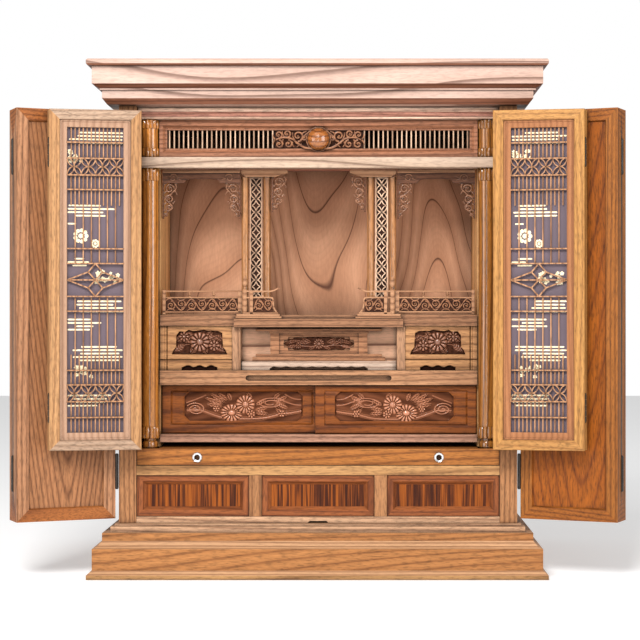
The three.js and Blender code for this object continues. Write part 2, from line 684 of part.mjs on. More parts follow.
function addSideBayHead(name, s) {
  const outer = s * (INNER_HALF_WIDTH - 2);
  const inner = s * (CAP_OUTER_X + 1);
  const [y0, y1] = [yAt(POST_AXIS_DEPTH - 6), yAt(POST_AXIS_DEPTH - 2)];
  const top = Z_BEAM - GAP;
  const low = top - 16;
  const high = low + 5;
  const ease = (from, by) => from - s * by;
  const outline = [[outer, top], [outer, low], [ease(outer, 26), low], [ease(outer, 29), high - 1],
    [ease(outer, 36), high], [ease(inner, -34), high], [ease(inner, -27), high - 1],
    [ease(inner, -24), low], [inner, low], [inner, top]];
  addPiece(name, unite([
    plate(outline, y0, y1),
    box(outer, inner, y0 - 2.5, y1, top - 4, top),
    tracery(outer, -s, low, y0, y1),
    tracery(inner, s, low, y0, y1),
    curl(ease(inner, -14), low + 6, 6, 200, -330, 2, y0 - 1.5, y0 + 1),
  ]), MATERIAL.carving);
}

function addPostCap(name, s) {
  const [y0, y1] = [yAt(POST_AXIS_DEPTH - 6), yAt(POST_AXIS_DEPTH + 6)];
  const top = Z_BEAM - GAP;
  const outline = [[s * CAP_OUTER_X, top], [s * CAP_OUTER_X, top - 3], [s * (CAP_OUTER_X - 2), top - 6],
    [s * (CAP_OUTER_X - 6), CAP_BOTTOM], [s * (CENTRE_BAY_WIDTH / 2 - 4), CAP_BOTTOM],
    [s * (CAP_INNER_X + 5), CAP_BOTTOM + 3], [s * CAP_INNER_X, CAP_BOTTOM + 5], [s * CAP_INNER_X, top]];
  const edge = s * (CENTRE_BAY_WIDTH / 2);
  const front = yAt(POST_AXIS_DEPTH - 5);
  addPiece(name, unite([
    plate(outline, y0, y1),
    box(edge, edge - s * 15, front, front + 4, CAP_BOTTOM - 2.5, CAP_BOTTOM + 1),
    tracery(edge, -s, CAP_BOTTOM - 1.5, front, front + 4),
  ]), MATERIAL.carving);
}

// A strip of interlaced circles, drawn here as their crossing diagonals
function addStrip(name, s) {
  const x = s * (POST_OUTER_X + POST_INNER_X) / 2;
  const half = STRIP_WIDTH / 2;
  const z0 = Z_UPPER_TOP + GAP;
  const z1 = CAP_BOTTOM - GAP;
  const cells = Math.round((z1 - z0) / (STRIP_WIDTH + 0.8));
  const y0 = yAt(POST_AXIS_DEPTH) - STRIP_THICK / 2;
  const y1 = y0 + STRIP_THICK;
  const rail = 1.2;
  const place = (along, across) => [x + across, along];
  const outline = [[x - half, z0], [x + half, z0], [x + half, z1], [x - half, z1]];
  const holes = crossedHoles(z0 + rail, z1 - rail, cells, half - rail, 2.2, place);
  addPiece(name, pierced(outline, holes, y0, y1), MATERIAL.carving);
}

function addBays() {
  for (const [side, s] of [['left', -1], ['right', 1]]) {
    addSideBayHead(`bay_head_${side}`, s);
    addPostCap(`post_cap_${side}`, s);
    addStrip(`interlace_strip_${side}`, s);
    for (const [place, x] of [['outer', POST_OUTER_X], ['inner', POST_INNER_X]]) {
      addPiece(`post_${side}_${place}`, upright(POST_DIA / 2, Z_UPPER_TOP + GAP, CAP_BOTTOM - GAP, 8,
        s * x, yAt(POST_AXIS_DEPTH)), MATERIAL.column);
    }
  }
}

// Low railing of one side: a long panel, a newel with a bud finial and a short return
const RAIL_TOP = 29;
const RAIL_SECOND = 21.4;
const RAIL_LOW = 4.4;

function addRailing(name, s) {
  const base = Z_UPPER_TOP + GAP;
  const newelX = POST_OUTER_X - 0.8;
  const newelDepth = SHELF_DEPTH - 0.5;
  const [y0, y1] = [yAt(SHELF_DEPTH + 0.8), yAt(SHELF_DEPTH + 3.6)];
  const outer = s * (INNER_HALF_WIDTH - 3);
  const inner = s * (newelX + 4.6);
  const post = 4;
  const pieces = [
    box(outer, outer - s * post, y0, y1, base, base + RAIL_TOP),
    box(inner - s * 3, inner + s * post, y0, y1, base, base + RAIL_TOP),
    box(outer, inner, y0, y1, base + RAIL_TOP - 1.8, base + RAIL_TOP),
    box(outer, inner, y0, y1, base + RAIL_SECOND - 1.6, base + RAIL_SECOND),
    box(outer, inner, y0, y1, base + RAIL_LOW - 2, base + RAIL_LOW),
  ];
  const from = Math.abs(inner) + post;
  const span = Math.abs(outer) - post - from;
  for (const share of [1 / 3, 2 / 3]) {
    const x = s * (from + span * share);
    pieces.push(box(x - 1.6, x + 1.6, y0 + 0.4, y1 - 0.4, base + RAIL_SECOND - 1, base + RAIL_TOP - 1));
  }
  const r = (RAIL_SECOND - RAIL_LOW) / 2 - 0.4;
  const scrolls = 4;
  for (let i = 0; i < scrolls; i += 1) {
    const x = s * (from + span * (i + 0.5) / scrolls);
    const flip = i % 2 === 0 ? 1 : -1;
    const zMid = base + (RAIL_SECOND + RAIL_LOW) / 2 - 0.8;
    pieces.push(curl(x, zMid, r, flip * 90, flip * 400, 1.8, y0 + 0.4, y1 - 0.4));
  }
  pieces.push(...railingReturn(s, newelX, base));
  const newel = 3.4;
  pieces.push(turned([[0, base], [newel, base], [newel, base + RAIL_TOP + 0.6], [1.4, base + RAIL_TOP + 2],
    [1.4, base + RAIL_TOP + 4], [3.2, base + RAIL_TOP + 7], [3, base + RAIL_TOP + 11],
    [0, base + RAIL_TOP + 17]], 8, s * newelX, yAt(newelDepth)));
  addPiece(name, unite(pieces), MATERIAL.pale);
}

function railingReturn(s, newelX, base) {
  const [y0, y1] = [yAt(SHELF_DEPTH - 4), yAt(SHELF_DEPTH - 1.4)];
  const end = newelX - 38;
  const start = newelX - 1;
  const foot = Z_UPPER_TOP - SHELF_TONGUE_DROP + GAP;
  return [
    box(s * (newelX + 11), s * (end - 6), yAt(SHELF_DEPTH - 6), yAt(SHELF_DEPTH - GAP), foot, foot + 2.4),
    box(s * (newelX + 10), s * (end - 4), yAt(SHELF_DEPTH - 5), yAt(SHELF_DEPTH - GAP), foot + 2, base + 1),
    box(s * start, s * (end - 2), y0, y1, base + 0.5, base + 3),
    ribbon([[s * start, base + RAIL_TOP - 1], [s * (end + 6), base + RAIL_TOP - 1],
      [s * (end - 3), base + RAIL_TOP + 3]], 1.9, 1.6, y0, y1),
    ribbon([[s * start, base + RAIL_SECOND - 1], [s * (end + 8), base + RAIL_SECOND - 1],
      [s * (end + 4), base + RAIL_SECOND - 3], [s * (end + 3), base + 8], [s * (end - 1), base + 1.4]],
      1.8, 1.6, y0, y1),
    box(s * (start - 5), s * (start - 9), y0, y1, base, base + RAIL_TOP - 1),
    box(s * (end + 15), s * (end + 18), y0 + 0.3, y1 - 0.3, base + RAIL_SECOND - 1, base + RAIL_TOP - 1),
    curl(s * (end + 18), base + 11.3, 8.2, 90, s * -400, 1.8, y0 + 0.3, y1 - 0.3),
  ];
}

// Small fixed panels beside the altar table, each with a sunk carving of blossom branches
const DIVIDER_INNER_X = 93.7;
const DIVIDER_OUTER_X = 103.5;
const SMALL_PANEL_THICK = 6;
const CUSP_DIP = 0.3;

function cuspedStrip(x0, x1, z, height, cusps, y0, y1) {
  const points = [[x0, z - 1], [x1, z - 1], [x1, z + height * 0.4]];
  for (let i = 0; i <= cusps * 4; i += 1) {
    const t = i / (cusps * 4);
    const inset = (x1 - x0) * 0.04;
    const dip = CUSP_DIP * Math.abs(Math.sin(cusps * Math.PI * t));
    points.push([x1 - inset - (x1 - x0 - 2 * inset) * t, z + height * (1 - dip)]);
  }
  points.push([x0, z + height * 0.4]);
  return plate(points, y0, y1);
}

function addSmallPanel(name, s) {
  const [y0, y1] = [yAt(PANEL_DEPTH), yAt(PANEL_DEPTH + SMALL_PANEL_THICK)];
  const z0 = Z_MIDDLE_TOP + GAP;
  const z1 = Z_UPPER - GAP;
  const outer = INNER_HALF_WIDTH - GAP;
  const inner = DIVIDER_OUTER_X + GAP;
  const mid = s * (outer + inner - 8) / 2;
  const low = z0 + 19;
  const high = z1 - 4;
  const opening = [[-33, low], [33, low], [31, low + 5], [28, low + 9], [27.5, high - 6], [24, high - 1],
    [17, high - 1], [13, high], [4, high - 1.5], [-6, high], [-14, high - 1.5], [-22, high - 1.5],
    [-27, high - 4], [-28, low + 9], [-31, low + 5]].map(([x, z]) => [mid + x, z]);
  const floorY = y0 + 3.5;
  const at = (x, z) => [mid - s * x, low + z];
  const branch = (points, width) => {
    const placed = points.map(([x, z]) => at(x, z));
    return ribbon(placed, width, 1.6, y0 + 0.6, floorY + 0.5);
  };
  const motif = [
    branch([[-30, 3], [-20, 8], [-8, 10], [4, 17], [14, 20], [24, 24]], 3.4),
    branch([[-8, 10], [2, 6], [14, 7], [27, 3]], 3),
    branch([[-20, 8], [-14, 16], [-18, 24]], 2.6),
  ];
  for (const [x, z, r] of [[16, 18, 7], [-1, 14, 5.6], [-22, 5, 4.4], [25, 5.4, 4.4], [-16, 22, 4.6]]) {
    motif.push(rosette(mid - s * x, low + z, r, 5, y0 + 0.3, floorY + 0.5));
  }
  const board0 = box(s * inner, s * outer, y0, y1, z0, z1);
  const split = box(s * inner - s, s * (outer - 8), y0 - 1, y0 + 1.2, z0 + 12, z0 + 13);
  const edge = box(s * (outer - 8), s * (outer - 9), y0 - 1, y0 + 1.2, z0 - 1, z1 + 1);
  const cusps = cuspedStrip(mid - 21, mid + 21, z0, 5.6, 3, y0 - 1, y1 + 1);
  const carved = board0.subtract(plate(opening, y0 - 1, floorY)).subtract(split).subtract(edge)
    .subtract(cusps);
  addPiece(name, unite([carved, ...motif]), MATERIAL.case);
  addPiece(name.replace('small_panel', 'divider_post'),
    board(s * DIVIDER_INNER_X, s * DIVIDER_OUTER_X, PANEL_DEPTH - 1, RECESS_DEPTH - GAP, z0, z1),
    MATERIAL.pale);
}

// Altar table: a stepped dais with two broad legs, a framed front and a top board
const TABLE_HALF = 76;
const TABLE_LEG_OUTER = 58.5;
const TABLE_LEG_INNER = 48;
const PLAQUE_HALF = 42.8;
const PLAQUE_HEIGHT = 16.4;

function addAltarTable() {
  const z0 = Z_MIDDLE_TOP + GAP;
  const d = TABLE_FRONT_DEPTH;
  const steps = [[DIVIDER_INNER_X - 1, 0, 10.4, d - 6], [TABLE_HALF + 4, 10, 15.4, d - 3],
    [TABLE_HALF, 15, 19, d - 1]];
  const pieces = steps.map(([half, low, high, front]) => {
    return board(-half, half, front, d + 14, z0 + low, z0 + high);
  });
  const top = z0 + 49.2;
  pieces.push(board(-TABLE_LEG_OUTER, TABLE_LEG_OUTER, d + 2, d + 14, z0 + 18, top - 2));
  for (const s of [-1, 1]) {
    pieces.push(board(s * TABLE_LEG_INNER, s * TABLE_LEG_OUTER, d, d + 10, z0 + 18, top - 2));
  }
  pieces.push(board(-TABLE_HALF, TABLE_HALF, d - 4, RECESS_DEPTH - GAP, top - 2.6, top));
  pieces.push(board(-TABLE_LEG_OUTER - 1.5, TABLE_LEG_OUTER + 1.5, d - 1, d + 14, top - 5, top - 2));
  const midZ = z0 + 31.5;
  const outline = plaqueOutline(0, midZ, 0);
  const seat = plate(outline, yAt(d), yAt(d + 4.6));
  const cuspHalf = TABLE_LEG_OUTER + 0.5;
  const cusps = cuspedStrip(-cuspHalf, cuspHalf, z0, 4.6, 7, yAt(0), yAt(d + 20));
  addPiece('altar_table', unite(pieces).subtract(seat).subtract(cusps), MATERIAL.pale);
  addPlaque(midZ, yAt(d + 1), yAt(d + 4.3));
  const wide = DIVIDER_OUTER_X;
  addPiece('recess_back', board(-wide, wide, RECESS_DEPTH, RECESS_DEPTH + BOARD_THICK, z0, Z_UPPER - GAP),
    MATERIAL.panel);
}

// A rounded oblong with notched corners
function plaqueOutline(x, z, inset) {
  const half = PLAQUE_HALF - inset;
  const h = PLAQUE_HEIGHT / 2 - inset;
  const quarter = [[half, 0], [half - 1, h * 0.55], [half - 5, h * 0.6], [half - 6, h], [0, h * 1.02]];
  const mirrored = (sx, sz, list) => list.map(([px, pz]) => [x + sx * px, z + sz * pz]);
  return [
    ...mirrored(1, 1, quarter),
    ...mirrored(-1, 1, quarter).reverse().slice(1),
    ...mirrored(-1, -1, quarter).slice(1),
    ...mirrored(1, -1, quarter).reverse().slice(1, -1),
  ];
}

function addPlaque(z, y0, y1) {
  const ground = plate(plaqueOutline(0, z, GAP), y1 - 1.4, y1);
  const pieces = [ground];
  for (const [x, dz, r] of [[-27, 1, 5], [-12, -1.5, 5.6], [4, 1.5, 5.2], [17, -2, 5], [30, 1.4, 5]]) {
    pieces.push(rosette(x, z + dz, r, 6, y0, y1 - 1));
  }
  for (const [xa, za, xb, zb] of [[-39, -3, -31, 4], [-22, 5, -16, -5], [-5, -6, 0, 5], [9, 5, 13, -5],
    [22, 5, 25, -6], [35, 4, 40, -3]]) {
    pieces.push(leaf(xa, z + za, xb, z + zb, 3.4, y0 + 0.3, y1 - 1));
  }
  addPiece('plaque', unite(pieces), MATERIAL.dark);
}

// Carved sliding doors: blossoms beside a stream, sunk in a panel with notched corners
const CARTOUCHE_HALF = 71;
const CARTOUCHE_HEIGHT = 35;
const CARTOUCHE_NOTCH = 4.5;

function addSlidingDoor(name, s, depth) {
  const x0 = -s * PAIR_OVERLAP / 2;
  const x1 = s * (INNER_HALF_WIDTH - SLIDE_CLEAR);
  const [y0, y1] = [yAt(depth), yAt(depth + PAIR_THICK)];
  const z0 = Z_SILL_TOP + SLIDE_CLEAR;
  const z1 = Z_MIDDLE - SLIDE_CLEAR;
  const cx = (x0 + x1) / 2 - s * 2;
  const cz = (z0 + z1) / 2 + 3.5;
  const [half, high, notch] = [CARTOUCHE_HALF, CARTOUCHE_HEIGHT / 2, CARTOUCHE_NOTCH];
  const corner = [[half, high - notch], [half - notch * 0.8, high - notch], [half - notch, high]];
  const turn = (sx, sz) => corner.map(([x, z]) => [cx + sx * x, cz + sz * z]);
  const pocket = plate([...turn(1, 1), ...turn(-1, 1).reverse(), ...turn(-1, -1), ...turn(1, -1).reverse()],
    y0 - 1, y0 + RELIEF_SINK);
  const margin = PAIR_MARGIN;
  const field = frustum(Math.min(x0, x1) + margin - 4, Math.max(x0, x1) - margin + 4, z0 + 8, z1 - 6,
    y0 - 0.01, y0 + 1, 1.2);
  const inner = Math.min(x0, x1) + margin;
  const outer = Math.max(x0, x1) - margin;
  const raised = frustum(inner, outer, z0 + 12, z1 - 9, y0 + 1.1, y0 + 0.3, 0.4);
  const panel = box(x0, x1, y0, y1, z0, z1).subtract(field).add(raised).subtract(pocket);
  addPiece(name, unite([panel, ...streamAndBlossoms(cx, cz, s, y0 + 0.5, y0 + RELIEF_SINK + 0.4)]),
    MATERIAL.case);
}

// x counts from the middle of the panel towards its outer end
function streamAndBlossoms(cx, cz, s, y0, y1) {
  const at = (x, z) => [cx + s * x, cz + z];
  const line = (points, width) => ribbon(points.map(([x, z]) => at(x, z)), width, width * 0.7, y0 + 0.4, y1);
  const pieces = [
    line([[66, -6], [50, -11], [32, -13], [10, -15], [-12, -13.5], [-34, -8], [-52, -11], [-66, -9]], 2),
    line([[66, 2], [56, -3], [44, -6], [30, -8]], 1.8),
    line([[-26, 13], [-42, 9], [-55, 4], [-67, 6]], 1.8),
    line(arcPoints(59, -2, 7, 2, 200, 520, CURL_STEPS), 1.6),
  ];
  for (const [x, z, r, petals] of [[15, -6, 9.5, 9], [-1, 3, 10.5, 9], [-22, -5, 6, 6], [34, 6, 5, 6]]) {
    const [px, pz] = at(x, z);
    pieces.push(rosette(px, pz, r, petals, y0, y1));
  }
  const leaves = [[28, 2, 48, 9], [20, 6, 30, 15], [-10, 12, -26, 8], [-14, -1, -36, 2],
    [-30, -4, -50, -3]];
  for (const [xa, za, xb, zb] of leaves) {
    pieces.push(leaf(...at(xa, za), ...at(xb, zb), 6, y0 + 0.2, y1));
  }
  return pieces;
}

function addPair() {
  const front = SHELF_DEPTH + 6;
  addSlidingDoor('sliding_door_right', 1, front);
  addSlidingDoor('sliding_door_left', -1, front + PAIR_THICK + PAIR_TRACK_GAP);
}

// Doors. A leaf is made closed, in the frame of its own hinge: u runs from the hinge towards
// the middle of the cabinet, and the front is -Y.
function barrels(radius, length, zs, y, u, s) {
  return zs.map((z) => upright(radius, z - length / 2, z + length / 2, 6, -s * u, y));
}

function outerLeafSolid(s, u0, u1, y0, y1, z0, z1) {
  const [x0, x1] = [Math.min(-s * u0, -s * u1), Math.max(-s * u0, -s * u1)];
  const stile = OUTER_STILE;
  const sunk = (face, floor) => frustum(x0 + stile - 1.5, x1 - stile + 1.5, z0 + stile - 1.5,
    z1 - stile + 1.5, face, floor, 1.5);
  return box(x0, x1, y0, y1, z0, z1)
    .subtract(sunk(y0 - 0.01, y0 + OUTER_PANEL_SINK))
    .subtract(sunk(y1 + 0.01, y1 - OUTER_PANEL_SINK));
}

function addOuterDoors(side, s) {
  const axisX = X_OUT + OUTER_AXIS_OUT;
  const z0 = BASE_HEIGHT + OUTER_BOTTOM_CLEAR;
  const z1 = Z_BODY_TOP - OUTER_TOP_CLEAR;
  const u0 = OUTER_AXIS_OUT - 0.7;
  const foldU = (axisX + u0) / 2 + 0.3;
  const faceIn = -GAP;
  const faceOut = faceIn - OUTER_THICK;
  const foldY = faceOut - GAP / 2;
  const barrelZ = [z0 + OUTER_BARREL_INSET, z1 - OUTER_BARREL_INSET];
  const bar0 = (radius, extra, y, u) => barrels(radius, OUTER_BARREL_LENGTH + extra, barrelZ, y, u, s);

  const hinged = new THREE.Group();
  hinged.position.set(s * axisX, FRONT, 0);
  hinged.rotation.z = s * THREE.MathUtils.degToRad(OUTER_OPEN_DEG);
  cabinet.add(hinged);
  const leafA = outerLeafSolid(s, u0, foldU - GAP / 2, faceOut, faceIn, z0, z1);
  addPiece(`outer_door_${side}_a`, unite([leafA, ...bar0(OUTER_BARREL_R, 0, 0, 0),
    ...bar0(OUTER_BARREL_R, 0, foldY, foldU)]), MATERIAL.case, hinged);

  const folded = new THREE.Group();
  folded.position.set(-s * foldU, foldY, 0);
  folded.rotation.z = s * THREE.MathUtils.degToRad(OUTER_FOLD_DEG);
  hinged.add(folded);
  const leafB = outerLeafSolid(s, GAP / 2, axisX - foldU - GAP, GAP / 2, GAP / 2 + OUTER_THICK, z0, z1);
  addPiece(`outer_door_${side}_b`, bar0(OUTER_BARREL_R + GAP, 1, 0, 0).reduce(
    (leaf, hole) => leaf.subtract(hole), leafB), MATERIAL.case, folded);
}

// Lattice leaf: a moulded frame, cross bars in front, upright bars behind them, two bands of
// crossing diagonals and a star in the middle
function latticeLeafSolid(s, u0, u1, y0, y1, z0, z1, decorated) {
  const [x0, x1] = [Math.min(-s * u0, -s * u1), Math.max(-s * u0, -s * u1)];
  const step = LATTICE_STILE;
  const edge = LATTICE_STILE + LATTICE_MOULDING;
  const sink = LATTICE_MOULDING_SINK;
  let frame = box(x0, x1, y0, y1, z0, z1);
  for (const [face, floor] of [[y0 - 0.01, y0 + sink], [y1 + 0.01, y1 - sink]]) {
    frame = frame.subtract(frustum(x0 + step, x1 - step, z0 + step, z1 - step, face, floor, sink * 0.6));
  }
  const [ox0, ox1, oz0, oz1] = [x0 + edge, x1 - edge, z0 + edge, z1 - edge];
  frame = frame.subtract(box(ox0, ox1, y0 - 1, y1 + 1, oz0, oz1));
  const mid = (y0 + y1) / 2;
  const [fy0, fy1] = [mid - LATTICE_BAR_DEPTH - GAP / 2, mid - GAP / 2];
  const [ry0, ry1] = [mid + GAP / 2, mid + LATTICE_BAR_DEPTH + GAP / 2];
  const w = LATTICE_BAR / 2;
  const zMid = (oz0 + oz1) / 2;
  const reach = (oz1 - oz0) / 2;
  const bars = [frame];
  for (let i = 1; i < LATTICE_COLUMNS; i += 1) {
    const x = ox0 + (ox1 - ox0) * i / LATTICE_COLUMNS;
    bars.push(box(x - w, x + w, ry0, ry1, oz0 - 0.5, oz1 + 0.5));
  }
  for (const share of [...LATTICE_BAR_SHARES, ...LATTICE_BAR_SHARES.map((v) => -v)]) {
    const z = zMid + reach * share;
    bars.push(box(ox0 - 0.5, ox1 + 0.5, fy0, fy1, z - w, z + w));
  }
  if (decorated) {
    bars.push(...latticeBands(ox0, ox1, zMid, reach, fy0, fy1));
    bars.push(...latticeStar(ox0, ox1, zMid, reach, fy0, fy1));
  }
  return unite(bars);
}

function latticeBands(x0, x1, zMid, reach, y0, y1) {
  const cells = 4;
  return [-1, 1].map((sign) => {
    const za = zMid + sign * reach * LATTICE_BAR_SHARES[3];
    const zb = zMid + sign * reach * LATTICE_BAR_SHARES[4];
    const mid = (za + zb) / 2;
    const half = Math.abs(zb - za) / 2;
    const place = (along, across) => [along, mid + across];
    const outline = [[x0 - 0.4, mid - half], [x1 + 0.4, mid - half], [x1 + 0.4, mid + half],
      [x0 - 0.4, mid + half]];
    return pierced(outline, crossedHoles(x0, x1, cells, half - 0.5, 1.9, place), y0 + 0.3, y1);
  });
}

function latticeStar(x0, x1, zMid, reach, y0, y1) {
  const xMid = (x0 + x1) / 2;
  const half = (x1 - x0) / 2 + 0.4;
  const high = reach * LATTICE_BAR_SHARES[0];
  const [kneeX, kneeZ] = [half * 0.26, high * 0.48];
  const pieces = [bar(x0 - 0.5, zMid, x1 + 0.5, zMid, LATTICE_BAR, y0, y1)];
  for (const sx of [-1, 1]) {
    for (const sz of [-1, 1]) {
      const [kx, kz] = [xMid + sx * kneeX, zMid + sz * kneeZ];
      pieces.push(ribbon([[xMid, zMid + sz * high], [kx, kz], [xMid + sx * half, zMid]], 1.4, 1.4, y0, y1));
      pieces.push(bar(xMid, zMid, kx, kz, 1.4, y0, y1));
    }
  }
  return pieces;
}

function addLatticeDoors(side, s) {
  const axisX = X_IN - LATTICE_AXIS_IN;
  const z0 = Z_TRAY_TOP + LATTICE_BOTTOM_CLEAR;
  const z1 = Z_BODY_TOP - LATTICE_TOP_CLEAR;
  const u0 = 0.9;
  const foldU = (axisX + u0) / 2;
  const faceOut = LATTICE_AXIS_OUT + 0.2;
  const faceIn = faceOut + LATTICE_THICK;
  const foldY = faceIn + GAP / 2;
  const barrelZ = [z0 + LATTICE_BARREL_INSET, z1 - LATTICE_BARREL_INSET];
  const bar0 = (radius, extra, y, u) => barrels(radius, LATTICE_BARREL_LENGTH + extra, barrelZ, y, u, s);

  const hinged = new THREE.Group();
  hinged.position.set(s * axisX, FRONT - LATTICE_AXIS_OUT, 0);
  hinged.rotation.z = s * THREE.MathUtils.degToRad(LATTICE_OPEN_DEG);
  cabinet.add(hinged);
  const leafA = latticeLeafSolid(s, u0, foldU - GAP / 2, faceOut, faceIn, z0, z1, false);
  addPiece(`lattice_door_${side}_a`, unite([leafA, ...bar0(LATTICE_BARREL_R, 0, 0, 0),
    ...bar0(LATTICE_BARREL_R, 0, foldY, foldU)]), MATERIAL.pale, hinged);

  const folded = new THREE.Group();
  folded.position.set(-s * foldU, foldY, 0);
  folded.rotation.z = -s * THREE.MathUtils.degToRad(LATTICE_FOLD_DEG);
  hinged.add(folded);
  const leafB = latticeLeafSolid(s, GAP / 2, axisX - foldU - GAP, -GAP / 2 - LATTICE_THICK, -GAP / 2,
    z0, z1, true);
  addPiece(`lattice_door_${side}_b`, bar0(LATTICE_BARREL_R + GAP, 1, 0, 0).reduce(
    (leaf, hole) => leaf.subtract(hole), leafB), MATERIAL.pale, folded);
}

addBase();
addCornice();
addCase();
addDrawers();
addTray();
addFrameOfInside();
addShelves();
addTransom();
addBays();
for (const [side, s] of [['left', -1], ['right', 1]]) {
  addRailing(`railing_${side}`, s);
  addSmallPanel(`small_panel_${side}`, s);
  addOuterDoors(side, s);
  addLatticeDoors(side, s);
}
addAltarTable();
addPair();

export default cabinet;
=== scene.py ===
import json
import math
import random

import bmesh
import bpy
import numpy as np
from mathutils import Matrix, Vector


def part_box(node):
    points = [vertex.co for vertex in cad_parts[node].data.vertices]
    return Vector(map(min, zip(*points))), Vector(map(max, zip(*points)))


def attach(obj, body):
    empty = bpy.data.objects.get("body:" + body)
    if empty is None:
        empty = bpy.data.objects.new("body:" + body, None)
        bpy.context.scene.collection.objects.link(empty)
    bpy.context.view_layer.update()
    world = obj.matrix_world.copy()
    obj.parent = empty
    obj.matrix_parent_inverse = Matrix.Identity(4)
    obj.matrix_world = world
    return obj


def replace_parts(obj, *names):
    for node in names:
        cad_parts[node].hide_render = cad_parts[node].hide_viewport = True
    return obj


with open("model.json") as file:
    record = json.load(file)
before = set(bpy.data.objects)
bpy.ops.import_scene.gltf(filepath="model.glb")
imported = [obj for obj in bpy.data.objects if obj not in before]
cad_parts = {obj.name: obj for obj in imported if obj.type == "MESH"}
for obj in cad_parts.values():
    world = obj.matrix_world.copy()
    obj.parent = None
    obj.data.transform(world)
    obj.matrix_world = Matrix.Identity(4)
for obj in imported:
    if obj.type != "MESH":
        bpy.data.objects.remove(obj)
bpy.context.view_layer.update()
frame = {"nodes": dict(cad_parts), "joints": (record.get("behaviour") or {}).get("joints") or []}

MM = 0.001
NODES = frame["nodes"]
JOINTS = {joint["name"]: joint for joint in frame["joints"]}
SIDES = (("left", -1), ("right", 1))
ORIGIN = (0.0, 0.0, 0.0)
EVEN = (1.0, 1.0, 1.0)


def box_mm(node):
    low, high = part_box(node)
    return low / MM, high / MM


def new_object(name, data):
    obj = bpy.data.objects.new(name, data)
    bpy.context.scene.collection.objects.link(obj)
    return obj


# Materials. M holds them by the name of their wood, metal or cloth.
M = {}
# Pale, deep and dark tones as shares of a wood's average colour
WOOD_TONES = ((1.16, 1.2, 1.22), (0.86, 0.82, 0.78), (0.26, 0.2, 0.18))
# Relief tones run from dark for the recesses, painted shade, to pale for the raised parts, painted
# highlight
RELIEF_TONES = ((1.7, 1.6, 1.55), (0.5, 0.4, 0.34), (0.1, 0.06, 0.045))
STRIPE_TONES = ((0.25, 0.16, 0.14), (0.5, 0.38, 0.3), (1.3, 1.1, 0.8), (1.8, 1.7, 1.3))


def toned(color, shares):
    return [tuple(c * k for c, k in zip(color, share)) for share in shares]


# A material's node tree, with short ways to add what its colour and surface are made of
class Surface:
    def __init__(self, name):
        self.material = bpy.data.materials.new(name)
        self.material.use_nodes = True
        self.tree = self.material.node_tree
        self.shader = self.tree.nodes["Principled BSDF"]

    def put(self, node, inputs):
        for key, value in inputs.items():
            if isinstance(value, bpy.types.NodeSocket):
                self.tree.links.new(value, node.inputs[key])
            else:
                node.inputs[key].default_value = value

    def add(self, kind, inputs, output=0, **settings):
        node = self.tree.nodes.new("ShaderNode" + kind)
        for key, value in settings.items():
            setattr(node, key, value)
        self.put(node, inputs)
        return node.outputs[output]

    def math(self, operation, a, b=0.0):
        return self.add("Math", {0: a, 1: b}, operation=operation)

    def plus(self, a, b):
        return self.math("ADD", a, b)

    def times(self, a, b):
        return self.math("MULTIPLY", a, b)

    # Stops are places with a colour, or with one number for a grey
    def ramp(self, source, *stops):
        node = self.tree.nodes.new("ShaderNodeValToRGB")
        elements = node.color_ramp.elements
        while len(elements) < len(stops):
            elements.new(0.5)
        for element, (place, tone) in zip(elements, stops):
            element.position = place
            element.color = (*(tone if isinstance(tone, tuple) else (tone,) * 3), 1.0)
        self.put(node, {0: source})
        return node.outputs[0]

    def multiply(self, color, *shades):
        for shade_color in shades:
            color = self.add("Mix", {0: 1.0, 6: color, 7: shade_color}, 2, data_type="RGBA",
                             blend_type="MULTIPLY")
        return color

    def placed(self, scale=EVEN, shift=ORIGIN):
        coords = self.add("TexCoord", {}, "Object")
        return self.add("Mapping", {"Vector": coords, "Location": shift, "Scale": scale})

    def noise(self, vector, scale, detail=1.0, roughness=0.5):
        return self.add("TexNoise", {"Vector": vector, "Scale": scale, "Detail": detail,
                                     "Roughness": roughness})

    # Painted shade: the creases, corners and hollows of a carved or framed piece are darkened where
    # little of the open space around reaches them
    def shade_crevices(self, color, reach, darkest):
        light = self.add("AmbientOcclusion", {"Distance": reach}, "AO", samples=6)
        return self.multiply(color, self.ramp(light, (0.35, darkest), (0.9, 1.0)))

    def finish(self, key, color, values, height=None, strength=0.2, distance=0.0003):
        self.put(self.shader, {"Base Color": color, **values})
        if height is not None:
            bump = {"Height": height, "Strength": strength, "Distance": distance}
            self.put(self.shader, {"Normal": self.add("Bump", bump)})
        M[key] = self.material


def along_axis(axis, along, across):
    return tuple(along if name == axis else across for name in "XYZ")


